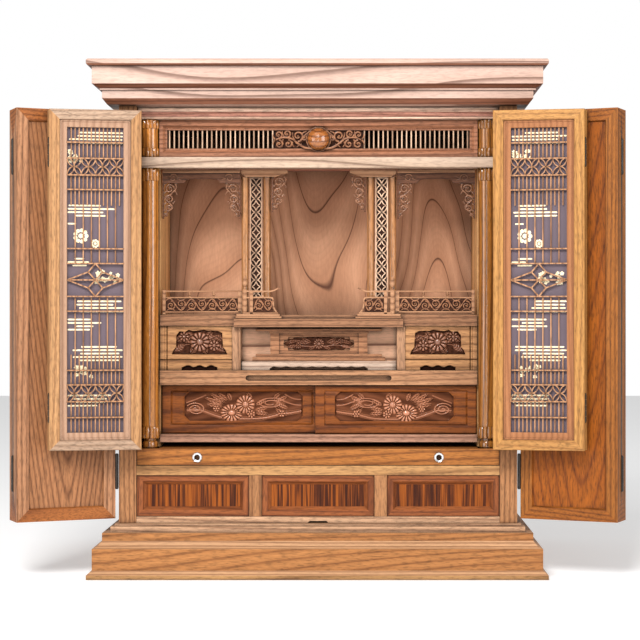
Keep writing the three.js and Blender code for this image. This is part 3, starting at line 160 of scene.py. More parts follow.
# Sawn wood: growth rings about a wandering pith that lies off the board, each one dark at its pores
# and paler behind them, with short dark pores and fibres along the grain
def wood(key, color, axis, seed, spacing=0.0055, sway=0.05, line=0.2, contrast=0.45, roughness=0.5,
         coat=0.0, specular=0.2, streaks=0.13, shade_reach=0.007, pith=None, slope=0.0, depth=1.0):
    made = Surface("wood_" + key)
    pale, deep, dark = toned(color, WOOD_TONES)
    pick = random.Random(seed)
    shift = (seed * 1.7, seed * 2.3, seed * 0.9)
    if pith is None:
        pith = tuple(0.0 if name == axis else pick.choice((-1, 1)) * pick.uniform(0.03, 0.12)
                     for name in "XYZ")
    x, y, z = along_axis(axis, 0.0, 1.0)
    radius = made.add("VectorMath", {0: made.placed((x, y * depth, z), pith)}, "Value",
                      operation="LENGTH")
    rise = made.add("VectorMath", {0: made.placed(), 1: (0.0, 0.0, -slope)}, "Value",
                    operation="DOT_PRODUCT")

    def grain(length, *values):
        return made.noise(made.placed(along_axis(axis, length, 1.0), shift), *values)

    reach = made.plus(made.plus(radius, made.times(grain(0.22, 5.0, 1.5, 0.45), sway)), rise)
    ring = made.math("FRACT", made.math("DIVIDE", reach, spacing))
    line_tone = tuple(contrast * a + (1.0 - contrast) * b for a, b in zip(dark, deep))
    middle = tuple(0.5 * (a + b) for a, b in zip(deep, pale))
    rings = made.ramp(ring, (0.0, line_tone), (line, middle), (0.5, pale), (0.8, middle),
                      (0.95, line_tone), (1.0, line_tone))
    fibre = grain(0.09, 420.0, 2.5, 0.65)
    fibres = made.ramp(fibre, (0.34, 1.0 - 1.5 * streaks), (0.46, 0.97),
                       (0.66, 1.0 + 0.7 * streaks))
    pores = made.ramp(grain(0.16, 700.0, 1.5, 0.6), (0.36, 1.0 - 2.2 * streaks), (0.47, 1.0),
                      (0.66, 1.0 + 0.8 * streaks))
    broad = made.ramp(grain(0.3, 12.0, 1.0), (0.3, (0.9, 0.87, 0.84)), (0.7, 1.07))
    # Creases and corners are darkened within the reach given: painted shade
    shown = made.shade_crevices(made.multiply(rings, fibres, pores, broad), shade_reach, 0.22)
    rough = made.ramp(fibre, (0.3, roughness + 0.12), (0.7, roughness - 0.05))
    made.finish(key, shown, {"Roughness": rough, "Specular IOR Level": specular,
                             "Coat Weight": coat, "Coat Roughness": 0.12},
                made.plus(made.times(fibre, 0.6), made.times(ring, 0.2)), 0.25, 0.0004)


# Pinkish-brown backs of the bays: a few long thin lines. The middle bay has them hanging, the right
# one rising to arches and the left one slanting.
def bay_wood(key, color, seed):
    made = Surface("wood_" + key)
    pale, deep, dark = toned(color, WOOD_TONES)
    plus, times, pitch = made.plus, made.times, 0.141
    shift = (seed, seed * 0.4, seed * 1.9)
    x, height = (made.add("SeparateXYZ", {0: made.placed()}, index) for index in (0, 2))
    sway = made.noise(made.placed((1.0, 1.0, 0.5), shift), 9.0)
    bay = made.math("ROUND", made.math("DIVIDE", x, pitch))
    centred = made.math("SUBTRACT", x, times(bay, pitch))
    across = made.math("SUBTRACT", plus(centred, times(sway, 0.09)), 0.045)
    arch = times(times(across, across), 110.0)
    way = made.math("SUBTRACT", times(made.math("ABSOLUTE", bay), 2.0), 1.0)
    rise = times(times(height, 1.9), way)
    left_bay = made.math("MAXIMUM", times(bay, -1.0), 0.0)
    slant = times(times(across, -3.4), left_bay)
    field = plus(plus(arch, rise), plus(slant, times(sway, 0.3)))
    lines = made.ramp(made.math("FRACT", times(field, 6.0)), (0.0, dark), (0.008, dark),
                      (0.025, deep), (0.5, pale), (0.97, deep), (1.0, dark))
    fine = made.ramp(made.math("FRACT", times(field, 60.0)), (0.0, 0.94), (0.4, 1.02), (1.0, 0.98))
    fibre = made.noise(made.placed((1.0, 1.0, 0.2), shift), 420.0, 2.0, 0.6)
    mixed = made.multiply(lines, fine, made.ramp(fibre, (0.3, 0.9), (0.7, 1.05)))
    # The bay backs are darkened within 45 mm of the ceiling, the sides and the posts: painted shade
    made.finish(key, made.shade_crevices(mixed, 0.045, 0.3),
                {"Roughness": 0.5, "Specular IOR Level": 0.15}, fibre)


# Upright dark and orange stripes of the drawer panels
def striped_wood(key, color, seed):
    made = Surface("wood_" + key)
    shift = (seed, seed, seed)
    broad = made.noise(made.placed((1.0, 0.1, 0.03), shift), 300.0, 2.5, 0.65)
    thin = made.noise(made.placed((1.0, 0.1, 0.012), shift), 700.0, 2.0, 0.6)
    stripes = made.ramp(broad, *zip((0.38, 0.47, 0.55, 0.66), toned(color, STRIPE_TONES)))
    made.finish(key, made.multiply(stripes, made.ramp(thin, (0.3, 0.7), (0.7, 1.1))),
                {"Roughness": 0.5, "Specular IOR Level": 0.15}, thin, 0.2, 0.0004)


# Carved wood coloured by the mesh's own height attribute: darker in the recesses, painted shade,
# and paler on the raised parts, painted highlight. Specular and coat fade out in the recesses too,
# as their reflections would in shade.
def relief_wood(key, color):
    made = Surface("wood_" + key)
    pale, deep, dark = toned(color, RELIEF_TONES)
    height = made.add("Attribute", {}, "Fac", attribute_name="height")
    fibre = made.noise(made.placed((0.05, 1.0, 1.0), (2.0, 1.0, 5.0)), 500.0, 2.0, 0.6)
    depth = made.ramp(height, (0.0, dark), (0.3, deep), (0.85, pale))
    shown = made.multiply(depth, made.ramp(fibre, (0.3, 0.8), (0.7, 1.08)))
    gloss_shaded_in_recesses = made.ramp(height, (0.45, 0.02), (0.9, 0.45))
    made.finish(key, made.shade_crevices(shown, 0.003, 0.25),
                {"Roughness": 0.34, "Specular IOR Level": gloss_shaded_in_recesses, "Coat Weight": gloss_shaded_in_recesses}, fibre,
                0.15)


def metal(key, color, roughness, wear):
    made = Surface("metal_" + key)
    marks = made.noise(made.placed((1.0, 1.0, 0.3), (3.0, 1.0, 2.0)), 300.0, 3.0, 0.6)
    tint = made.ramp(marks, (0.3, tuple(c * (1.0 - wear) for c in color)), (0.7, color))
    rough = made.ramp(marks, (0.3, roughness + 0.12), (0.7, roughness))
    made.finish(key, tint, {"Roughness": rough, "Metallic": 1.0})


# A fine plain weave, grey-lavender, with a little cloudiness
def gauze_cloth(color):
    made = Surface("gauze_cloth")
    cloud = made.noise(made.placed(EVEN, (5.0, 2.0, 4.0)), 22.0, 2.0)
    wave = {"Vector": made.placed(), "Scale": 260.0, "Distortion": 0.4}
    weave_x, weave_z = (made.add("TexWave", wave, "Fac", bands_direction=way) for way in "XZ")
    threads = made.times(weave_x, weave_z)
    base = made.ramp(cloud, (0.3, tuple(0.8 * c for c in color)), (0.7, color))
    made.finish("cloth", made.multiply(base, made.ramp(threads, (0.0, 0.82), (0.6, 1.05))),
                {"Roughness": 0.7, "Sheen Weight": 0.3}, threads, 0.2, 0.0002)


def gauze_gold():
    made = Surface("gauze_gold")
    flake = made.noise(made.placed(EVEN, (1.0, 7.0, 3.0)), 500.0, 2.0)
    tint = made.ramp(flake, (0.3, (0.76, 0.6, 0.33)), (0.7, (0.94, 0.84, 0.6)))
    made.finish("gold", tint, {"Roughness": 0.4, "Metallic": 0.25})


# The cornice wood is paler and pinker than the lower case: its own tone together with painted light
# from above
wood("cornice", (0.44, 0.294, 0.236), "X", 1.0, spacing=0.02, sway=0.28, line=0.03, contrast=0.7,
     streaks=0.06, shade_reach=0.016)
# Dark wood for the cornice's downward faces: painted shade under its mouldings
wood("cornice_underside_shade", (0.16, 0.06, 0.032), "X", 1.4, streaks=0.07, shade_reach=0.016)
# Pale wood for the upward faces of the base's steps: painted highlight
wood("base_top_highlight", (0.42, 0.23, 0.12), "X", 2.1, streaks=0.06, shade_reach=0.001)
wood("base", (0.293, 0.119, 0.037), "X", 2.0, sway=0.1, contrast=0.35, line=0.14, shade_reach=0.014)
wood("floor", (0.436, 0.253, 0.148), "X", 2.3)
wood("tray", (0.282, 0.099, 0.02), "X", 2.6, sway=0.08)
wood("drawer_rail", (0.339, 0.176, 0.068), "X", 3.0)
wood("case_upright", (0.27, 0.12, 0.048), "Z", 4.0)
# The header wood is paler than the case wood, to make up for the shade under the cornice: painted
# light. Its lips are paler still: painted highlight along the edges.
wood("header", (0.6, 0.27, 0.19), "X", 4.4)
wood("header_lip", (0.68, 0.45, 0.33), "X", 4.6)
# The beam wood is paler and pinker than the lower case: its own tone together with painted light
# from above
wood("beam", (0.392, 0.277, 0.202), "X", 4.8, spacing=0.014, sway=0.2, line=0.05, contrast=0.6,
     streaks=0.08, shade_reach=0.012)
wood("transom", (0.29, 0.12, 0.062), "X", 5.0)
wood("slat", (0.46, 0.3, 0.2), "Z", 5.1)
wood("shelf", (0.219, 0.101, 0.049), "X", 5.2)
wood("middle_shelf", (0.291, 0.141, 0.068), "X", 5.3)
wood("sill", (0.306, 0.158, 0.1), "X", 5.4)
wood("jamb", (0.65, 0.35, 0.14), "Z", 5.5)
wood("slim_post", (0.289, 0.124, 0.043), "Z", 5.7, coat=0.5)
wood("small_panel", (0.328, 0.159, 0.065), "X", 5.9)
wood("railing", (0.34, 0.17, 0.088), "X", 6.0, streaks=0.06)
wood("recess_back", (0.72, 0.42, 0.27), "X", 6.2, spacing=0.02, sway=0.15, line=0.05, contrast=0.9,
     streaks=0.06, pith=(0.0, 0.1, -0.33))
wood("divider", (0.28, 0.145, 0.077), "Z", 6.1)
wood("table", (0.29, 0.13, 0.062), "X", 6.3)
wood("plinth", (0.452, 0.326, 0.249), "X", 6.5, streaks=0.08)
# The left leaves' woods are a lit, pinker copy and the right leaves' a shaded, more orange copy of
# one wood: painted light and shade
wood("leaf_left_moulding", (0.33, 0.19, 0.12), "Z", 6.8, contrast=0.08, streaks=0.04)
wood("leaf_right_moulding", (0.29, 0.115, 0.045), "Z", 6.9, contrast=0.08, streaks=0.04)
wood("leaf_left_level", (0.302, 0.196, 0.131), "X", 7.0, contrast=0.2, line=0.12, depth=0.0)
wood("leaf_left_upright", (0.325, 0.164, 0.068), "Z", 7.2, contrast=0.2, line=0.12)
wood("leaf_right_level", (0.348, 0.165, 0.05), "X", 7.4, contrast=0.2, line=0.12, depth=0.0)
wood("leaf_right_upright", (0.348, 0.165, 0.046), "Z", 7.6, contrast=0.2, line=0.12)
# The left door's woods are a lit, pinker copy and the right door's a shaded, more orange copy of
# one finish: painted light and shade
wood("door_left", (0.247, 0.103, 0.042), "Z", 9.0, contrast=0.5, spacing=0.005,
     pith=(0.287, 0.215, 0.0), slope=0.11)
wood("door_left_rail", (0.229, 0.072, 0.017), "X", 9.2, depth=0.0)
wood("door_left_stile", (0.299, 0.139, 0.067), "Z", 9.4)
wood("door_right", (0.215, 0.055, 0.003), "Z", 9.6, sway=0.06, contrast=0.35, spacing=0.011,
     line=0.08, streaks=0.17, pith=(-0.3, 0.225, 0.0), slope=0.16)
wood("door_right_rail", (0.225, 0.068, 0.009), "X", 9.8, depth=0.0)
wood("door_right_stile", (0.225, 0.074, 0.011), "Z", 10.0)
wood("back", (0.36, 0.15, 0.06), "Z", 10.4)
bay_wood("bay_back", (0.475, 0.236, 0.132), 11.3)
# The left column's wood is a lit copy and the right's a shaded copy of one wood: painted light and
# shade
wood("column_left", (0.411, 0.15, 0.022), "Z", 12.0, contrast=0.7, roughness=0.4, coat=1.0)
wood("column_right", (0.246, 0.09, 0.013), "Z", 12.0, contrast=0.7, roughness=0.4, coat=1.0)
wood("ball", (0.3, 0.1, 0.022), "X", 13.0, contrast=0.7, roughness=0.3, coat=1.0)
wood("carved", (0.24, 0.1, 0.045), "X", 14.0, coat=0.1)
wood("tracery", (0.11, 0.042, 0.02), "X", 15.0, coat=0.1)
# The scroll wood is paler than the tracery boards it stands on: painted highlight on the strands
wood("scroll", (0.19, 0.08, 0.038), "X", 15.2, coat=0.2, specular=0.25)
wood("strip", (0.56, 0.36, 0.24), "Z", 15.3, coat=0.05)
wood("lattice", (0.34, 0.17, 0.085), "Z", 15.7)
wood("slider", (0.169, 0.044, 0.005), "X", 19.0, sway=0.09, contrast=0.6)
wood("dark", (0.06, 0.019, 0.008), "X", 16.0, specular=0.1)
wood("drawer_level", (0.197, 0.056, 0.015), "X", 17.0)
wood("drawer_upright", (0.197, 0.056, 0.015), "Z", 18.0)
striped_wood("drawer_panel", (0.155, 0.042, 0.005), 4.0)
relief_wood("relief", (0.277, 0.116, 0.061))
relief_wood("relief_dark", (0.16, 0.07, 0.04))
metal("ring", (0.85, 0.86, 0.88), 0.16, 0.2)
metal("hinge", (0.05, 0.045, 0.042), 0.32, 0.4)
gauze_cloth((0.113, 0.076, 0.095))
gauze_gold()


# The unit normal in X and Z at each point of a line
def line_normals(points):
    ends = [points[0], *points, points[-1]]
    for (ax, az), (bx, bz) in zip(ends, ends[2:]):
        length = math.hypot(bx - ax, bz - az) or 1.0
        yield -(bz - az) / length, (bx - ax) / length


# The corners of a rectangle in X and Z at one depth, drawn in by an inset
def corners(x0, x1, z0, z1, inset, y):
    a, b, c, d = x0 + inset, x1 - inset, z0 + inset, z1 - inset
    return [(a, y, c), (b, y, c), (b, y, d), (a, y, d)]


# Cosine and sine of equal turns round a circle
def turns(count):
    return [(math.cos(math.tau * k / count), math.sin(math.tau * k / count)) for k in range(count)]


# A mesh under construction, in millimetres, placed by a matrix when it is built
class Shape:
    def __init__(self):
        self.points, self.faces, self.slots, self.heights = [], [], [], []

    def add(self, points, faces, slot=0):
        start = len(self.points)
        self.points += points
        self.faces += [[start + index for index in face] for face in faces]
        self.slots += [slot] * len(faces)

    def box(self, x0, x1, y0, y1, z0, z1, slot=0):
        x0, x1 = sorted((x0, x1))
        points = [(x, y, z) for z in (z0, z1) for y in (y0, y1) for x in (x0, x1)]
        self.add(points, [(0, 2, 3, 1), (4, 5, 7, 6), (0, 1, 5, 4), (2, 6, 7, 3), (0, 4, 6, 2),
                          (1, 3, 7, 5)], slot)

    # A box with its edges eased on the front
    def eased(self, x0, x1, y0, y1, z0, z1, ease, slot=0):
        x0, x1 = sorted((x0, x1))
        rings = ((ease, y0), (0.0, y0 + ease), (0.0, y1))
        self.lofted([corners(x0, x1, z0, z1, *ring) for ring in rings], slot)

    # A loft through loops of equal length, capped at both ends or closed on itself
    def lofted(self, loops, slot=0, closed=False):
        count, faces = len(loops[0]), []
        for i in range(len(loops) - (not closed)):
            a, b = i * count, (i + 1) % len(loops) * count
            for j in range(count):
                k = (j + 1) % count
                faces.append((a + j, a + k, b + k, b + j))
        if not closed:
            faces.append(range(count)[::-1])
            faces.append(range((len(loops) - 1) * count, len(loops) * count))
        self.add([point for loop in loops for point in loop], faces, slot)

    # A mitred frame: the profile runs from the outside to the opening and round the back, as
    # (inset, y) pairs. Stiles take slot 0, rails slot 1 and what lies further in slot 2.
    def moulded_frame(self, x0, x1, z0, z1, profile, inner):
        self.lofted([corners(x0, x1, z0, z1, *pair) for pair in profile], 0, True)
        for index in range(len(self.faces)):
            ring, side = divmod(index, 4)
            inside = min(profile[ring][0], profile[(ring + 1) % len(profile)][0]) >= inner
            self.slots[index] = 2 if inside else 1 - side % 2

    # A strand of carving: an oval tube along points in X and Z, tapering from r0 to r1
    def strand(self, points, r0, r1, y, flat=0.8, slot=0):
        loops = []
        for i, ((x, z), (nx, nz)) in enumerate(zip(points, line_normals(points))):
            radius = r0 + (r1 - r0) * i / (len(points) - 1)
            loops.append([(x + nx * (radius * across), y + radius * flat * up,
                           z + nz * (radius * across)) for across, up in turns(8)])
        self.lofted(loops, slot)

    # A strip of rectangular section along points in X and Z
    def strip(self, points, width, y0, y1):
        loops = []
        for (x, z), normal in zip(points, line_normals(points)):
            nx, nz = (n * width / 2 for n in normal)
            loops.append([(x - nx, y0, z - nz), (x + nx, y0, z + nz), (x + nx, y1, z + nz),
                          (x - nx, y1, z - nz)])
        self.lofted(loops)

    # An outline in X and Z between two depths, sharp-edged
    def plate(self, outline, y0, y1, slot=0):
        self.lofted([[(x, y, z) for x, z in outline] for y in (y0, y1)], slot)

    # A turned form about an upright line, from (radius, height) pairs
    def turned(self, profile, x, y, sides):
        self.lofted([[(x + r * across, y + r * deep, z) for across, deep in turns(sides)]
                     for r, z in profile])

    # A collar of upright flutes round an upright line
    def fluted(self, radius, z0, z1, x, y, flutes=12, cut=1.1):
        ring = []
        for k in range(flutes * 8):
            angle = math.tau * k / (flutes * 8)
            reach = radius - cut * abs(math.cos(flutes / 2 * angle)) ** 6
            ring.append((x + reach * math.cos(angle), y + reach * math.sin(angle)))
        inner = [(x + (a - x) * 0.95, y + (b - y) * 0.95) for a, b in ring]
        loops = (inner, z0), (ring, z0 + 0.6), (ring, z1 - 0.6), (inner, z1)
        self.lofted([[(a, b, z) for a, b in loop] for loop, z in loops])

    def build(self, name, keys, body, matrix, slot, smooth=40.0):
        mesh = bpy.data.meshes.new(name)
        mesh.from_pydata([matrix @ (Vector(point) * MM) for point in self.points], [], self.faces)
        for key in keys:
            mesh.materials.append(M[key])
        mesh.polygons.foreach_set("material_index", self.slots)
        mesh.validate()
        obj = new_object(name, mesh)
        face_out(mesh)
        shade(mesh, smooth)
        if self.heights:
            layer = mesh.attributes.new("height", "FLOAT", "POINT")
            layer.data.foreach_set("value", self.heights)
        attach(obj, body)
        return obj

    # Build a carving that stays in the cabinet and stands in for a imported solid
    def carve(self, name, node, keys, slot="carved_wood"):
        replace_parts(self.build(name, keys, "cabinet", Matrix(), slot), node)


def face_out(mesh):
    work = bmesh.new()
    work.from_mesh(mesh)
    bmesh.ops.recalc_face_normals(work, faces=work.faces)
    work.to_mesh(mesh)
    work.free()


def shade(mesh, angle):
    mesh.polygons.foreach_set("use_smooth", [True] * len(mesh.polygons))
    mesh.set_sharp_from_angle(angle=math.radians(angle))


def arc(x, z, rx, rz, start, end, steps):
    angles = (math.radians(start + (end - start) * i / steps) for i in range(steps + 1))
    return [(x + rx * math.cos(angle), z + rz * math.sin(angle)) for angle in angles]


# A spiral that turns inwards from a start angle, in degrees
def spiral(x, z, rx, rz, start, turn, inner=0.25, steps=28):
    points = []
    for t in (i / steps for i in range(steps + 1)):
        share = 1.0 - (1.0 - inner) * t
        angle = math.radians(start + turn * t)
        points.append((x + rx * share * math.cos(angle), z + rz * share * math.sin(angle)))
    return points


# A smooth line through a few points
def smooth_line(*points, steps=6):
    ends = [points[0], *points, points[-1]]
    line = []
    for quad in zip(ends, ends[1:], ends[2:], ends[3:]):
        for t in (j / steps for j in range(steps)):
            line.append(tuple(
                0.5 * ((2 * b) + (c - a) * t + (2 * a - 5 * b + 4 * c - d) * t ** 2
                       + (3 * b - a - 3 * c + d) * t ** 3) for a, b, c, d in zip(*quad)))
    return line + [points[-1]]


# Relief carving: heights from 0 to 1 over a grid of points, made of a few motifs
def crown(share):
    return np.sqrt(np.clip(1.0 - share ** 2, 0.0, 1.0))


def flower(x, z, cx, cz, radius, petals, squash=1.0):
    dx, dz = x - cx, (z - cz) / squash
    reach = np.hypot(dx, dz) / radius
    petal = np.abs(np.cos(petals / 2.0 * np.arctan2(dz, dx))) ** 0.7
    dimples = 0.85 + 0.15 * np.cos(dx * 5.0) * np.cos(dz * 5.0)
    shape = np.maximum(crown((reach - 0.66) / 0.36) * (0.1 + 0.85 * petal),
                       crown(reach / 0.36) * dimples)
    return shape, reach


def leaf_relief(x, z, ax, az, bx, bz, width):
    along = math.hypot(bx - ax, bz - az)
    ux, uz = (bx - ax) / along, (bz - az) / along
    t = ((x - ax) * ux + (z - az) * uz) / along
    side = -(x - ax) * uz + (z - az) * ux
    half = width / 2 * np.sin(math.pi * np.clip(t, 0.0, 1.0)) ** 0.7 + 1e-3
    share = np.clip(np.abs(side) / half, 0.0, 1.0)
    ribs = 0.76 + 0.24 * np.cos(math.tau * (t * 5.0 + share * 0.8))
    rib = 1.0 - 0.55 * np.exp(-(side / 0.5) ** 2)
    return np.where((t > 0.0) & (t < 1.0), crown(share) * ribs * rib, 0.0) * 0.85


# The least distance to a line's spans, and the spans themselves
def distance(x, z, points):
    best = np.full(x.shape, 1e9)
    for (ax, az), (bx, bz) in zip(points, points[1:]):
        dx, dz = bx - ax, bz - az
        t = np.clip(((x - ax) * dx + (z - az) * dz) / (dx * dx + dz * dz + 1e-9), 0.0, 1.0)
        best = np.minimum(best, np.hypot(x - ax - t * dx, z - az - t * dz))
    return best


def ridge(x, z, points, width, height):
    return height * crown(distance(x, z, points) / (width / 2))


# How far a place lies outside a closed outline, negative inside it
def outside_outline(x, z, outline):
    closed = [*outline, outline[0]]
    best, inside = distance(x, z, closed), np.zeros(x.shape, bool)
    for (ax, az), (bx, bz) in zip(closed, closed[1:]):
        if az != bz:
            inside ^= ((az > z) != (bz > z)) & (x < ax + (z - az) * (bx - ax) / (bz - az))
    return np.where(inside, -best, best)


def smooth_step(low, high, value):
    t = np.clip((value - low) / (high - low), 0.0, 1.0)
    return t * t * (3.0 - 2.0 * t)


# The highest of some layers, with blossoms (x, z, radius, petals, squash) laid over them
def with_blossoms(u, v, layers, blossoms, floor):
    result = np.maximum.reduce(layers)
    for blossom_values in blossoms:
        shape, reach = flower(u, v, *blossom_values)
        result = np.where(reach < 1.0, np.maximum(shape, floor), result)
    return result


# A slab in place of a node, whose front is a grid of depths: depths(x, z) gives the depth and the
# height for the colour, which darkens the recesses as painted shade, and carved(x, z) says which
# cells take the second material
def relief_slab(name, node, cell, depths, carved, keys, body, slot):
    low, high = box_mm(node)
    columns, rows = (max(2, round(span / cell)) for span in (high.x - low.x, high.z - low.z))
    xs, zs = np.linspace(low.x, high.x, columns + 1), np.linspace(low.z, high.z, rows + 1)
    gx, gz = np.meshgrid(xs, zs)
    depth, height = depths(gx, gz)
    shape = Shape()
    wide, back = columns + 1, gx.size
    cells = [(a, a + 1, a + wide + 1, a + wide)
             for a in (j * wide + i for j in range(rows) for i in range(columns))]
    front = zip(*(values.ravel().tolist() for values in (gx, low.y + depth, gz)))
    shape.add([*front, *corners(low.x, high.x, low.z, high.z, 0.0, high.y)], cells)
    chosen = carved(*np.meshgrid((xs[:-1] + xs[1:]) / 2, (zs[:-1] + zs[1:]) / 2))
    shape.slots = chosen.ravel().astype(int).tolist()
    shape.heights = height.ravel().tolist() + [0.5] * 4
    edges = [range(wide)[::-1], range(columns, back, wide)[::-1],
             range(rows * wide, back), range(0, back, wide)]
    for k, edge in enumerate(edges):
        shape.faces.append([*edge, back + k, back + (k + 1) % 4])
    shape.faces.append([back + 3, back + 2, back + 1, back])
    shape.slots += [0] * 5
    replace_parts(shape.build(name, keys, body, Matrix(), slot, 50.0), node)


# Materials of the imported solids: one for the node, and others for the faces that a rule picks
def dress(node, key, *rules):
    mesh = NODES[node].data
    mesh.materials.clear()
    for index, (other, test) in enumerate([(key, None), *rules]):
        mesh.materials.append(M[other])
        for face in mesh.polygons if test else ():
            if test(face.center / MM, face.normal):
                face.material_index = index
    shade(mesh, 32.0)


def dress_solids():
    plain = {
        "back": "back_board", "floor": "floor_board", "sill": "sill_board",
        "header": "bay_ceiling", "drawer_rail": "drawer_rail_board", "tray": "pull_out_shelf",
        "beam": "cross_beam", "middle_shelf": "middle_shelf", "shelf": "upper_shelf",
        "bay_back": "bay_back_panel", "recess_back": "recess_back", "ball": "ball",
        "case_upright": "side_left side_right drawer_divider_1 drawer_divider_2",
        "jamb": "inner_side_left inner_side_right", "ring": "ring_left ring_right",
        "divider": "divider_post_left divider_post_right"}
    for key, nodes in plain.items():
        for node in nodes.split():
            dress(node, key)
    plinth_top = box_mm("altar_table")[0].z + 10.5
    dress("altar_table", "table", ("plinth", lambda at, _: at.z < plinth_top))
    # The cornice's downward faces take a dark wood: painted shade under each moulding
    underside_shade_low = box_mm("cornice")[0].z + 1.0
    dress("cornice", "cornice",
          ("cornice_underside_shade", lambda at, normal: normal.z < -0.2 and at.z > underside_shade_low))
    # The base's upward faces take a pale wood: painted highlight on the tops of its steps. The
    # fillets at the top and the lip at the foot take other woods.
    fillets_low, lip_high = 52.0, 7.5
    dress("base", "base", ("base_top_highlight", lambda _, normal: normal.z > 0.25),
          ("floor", lambda at, normal: at.z > fillets_low and abs(normal.z) < 0.25),
          ("drawer_rail", lambda at, normal: at.z < lip_high and abs(normal.z) < 0.25))
    low, high = box_mm("transom")
    scroll_half = 53.0

    def slat(at, _):
        return low.z + 11.5 < at.z < high.z - 12.5 and low.y + 4.5 < at.y < low.y + 7.7

    def behind_scroll(at, _):
        inside_z = low.z + 9.0 < at.z < high.z - 9.0
        return abs(at.x) < scroll_half and inside_z and at.y > low.y + 7.5

    dress("transom", "transom", ("slat", slat), ("dark", behind_scroll))
    for number in (1, 2, 3):
        dress_drawer(f"drawer_{number}")


def dress_drawer(node, edge=10.0, sink=1.5, deep=8.0):
    low, high = box_mm(node)

    def in_stile(at, _):
        return not low.x + edge <= at.x <= high.x - edge

    def in_panel(at, _):
        inside_x = low.x + edge < at.x < high.x - edge
        inside_z = low.z + edge < at.z < high.z - edge
        return inside_x and inside_z and low.y + sink < at.y < low.y + deep

    dress(node, "drawer_level", ("drawer_upright", in_stile), ("drawer_panel", in_panel))


# The frame of a door's own hinge, and its fold in metres and in that frame
def door_frames(prefix, fold_prefix, side, s):
    joint, fold = JOINTS[f"{prefix}_{side}"], JOINTS[f"{fold_prefix}_{side}"]
    at, fold_at = (Vector((*item["pos_m"][:2], 0.0)) for item in (joint, fold))
    turn = math.radians(-round(joint["range_deg"][0]))
    matrix = Matrix.Translation(at) @ Matrix.Rotation(s * turn, 4, "Z")
    return matrix, fold_at, matrix.inverted() @ fold_at / MM


def hinge(name, body, matrix, x, y, zs, radius, length):
    shape = Shape()
    knuckle = length / 5
    for z in zs:
        for k in range(5):
            za = z - length / 2 + k * knuckle + 0.2
            zb = za + knuckle - 0.4
            shape.turned([(radius * 0.8, za), (radius, za + 0.3), (radius, zb - 0.3),
                          (radius * 0.8, zb)], x, y, 16)
        for tip in (-1, 1):
            end = z + tip * length / 2
            cap = ((0.9, 0.0), (0.9, 0.5), (0.4, 1.2))[::tip]
            shape.turned([(radius * share, end + tip * rise) for share, rise in cap], x, y, 16)
    shape.build(name, ["hinge"], body, matrix, "hinge_metal")


# Outer doors: stiles, rails and panels are told apart in the frame of the leaf's own hinge
OUTER_STILE = 15.5
OUTER_BARREL_Z = 55.5
OUTER_BARREL_R = 2.0
OUTER_BARREL_LENGTH = 40.0


def dress_outer_leaf(node, side, to_leaf, fold):
    low, high = box_mm(node)
    spans = [(to_leaf @ vertex.co / MM).x for vertex in NODES[node].data.vertices]
    x0, x1 = min(spans), max(spans)

    def local(at):
        return to_leaf @ (at * MM) / MM

    def in_rail(at, _):
        return at.z < low.z + OUTER_STILE or at.z > high.z - OUTER_STILE

    def in_stile(at, _):
        x = local(at).x
        middle = low.z + OUTER_STILE < at.z < high.z - OUTER_STILE
        return min(x - x0, x1 - x) < OUTER_STILE + 1.0 and middle

    def in_barrel(at, _):
        place = local(at)
        near = min(math.hypot(place.x, place.y), math.hypot(place.x - fold.x, place.y - fold.y))
        return near < OUTER_BARREL_R + 0.1

    # Each side's door takes its own lit or shaded copy of the door woods
    dress(node, f"door_{side}", (f"door_{side}_rail", in_rail), (f"door_{side}_stile", in_stile),
          ("hinge", in_barrel))
    return low.z + OUTER_BARREL_Z, high.z - OUTER_BARREL_Z


def dress_outer_doors():
    for side, s in SIDES:
        matrix, _, fold = door_frames("doors", "outer_fold", side, s)
        zs, _ = (dress_outer_leaf(f"outer_door_{side}_{leaf}", side, matrix.inverted(), fold)
                 for leaf in "ab")
        for name, place in (("fold", fold), ("case", Vector())):
            hinge(f"hinge_outer_{name}_{side}", f"outer_{side}_a", matrix, place.x, place.y, zs,
                  OUTER_BARREL_R + 0.02, OUTER_BARREL_LENGTH)


# Lattice leaves, in the frame of their own hinge: x = -s * u, and the front is -Y
LEAF_STILE = 12.0
LEAF_EDGE = 20.5
LEAF_THICK = 11.0
BAR_SHARES = (0.108, 0.205, 0.592, 0.687, 0.797, 0.901)
STUB_SHARE = 0.489
BAR = 1.5
BAR_DEPTH = 2.4
DENSE_COLUMNS = 14
BAND_CELLS = 4
BAND_STRIP = 1.1
LEAF_BARREL_Z = 49.0
LEAF_BARREL_R = 1.5
LEAF_BARREL_LENGTH = 32.0
LEAF_BARREL_BACK = 11.65
HANGING_GAP = 0.9
FOLD_GAP = 0.3
GAUZE_LAP = 2.0
GAUZE_BACK = 2.9
PRINT_INSET = 2.5
PRINT_LIFT = 0.15
MIST_PITCH = 3.9
MIST_RADIUS = 0.9


def shippo_cell(shape, x0, x1, z0, z1, width, y0, y1):
    cx, cz = (x0 + x1) / 2, (z0 + z1) / 2
    for x, z, start in ((cx, z0, 0), (cx, z1, 180), (x0, cz, -90), (x1, cz, 90)):
        line = arc(x, z, (x1 - x0) / 2, (z1 - z0) / 2, start, start + 180, 14)
        shape.strip(line, width, y0, y1)


def lattice_star(shape, x0, x1, z_mid, high, y0, y1):
    x_mid, half = (x0 + x1) / 2, (x1 - x0) / 2
    shape.strip([(x0, z_mid), (x1, z_mid)], BAR, y0, y1)
    for sx in (-1, 1):
        for sz in (-1, 1):
            knee = (x_mid + sx * (half * 0.26), z_mid + sz * (high * 0.48))
            top, tip = (x_mid, z_mid + sz * high), (x_mid + sx * half, z_mid)
            for line in ([top, knee], [knee, tip], [(x_mid, z_mid), knee]):
                shape.strip(line, BAR, y0, y1)


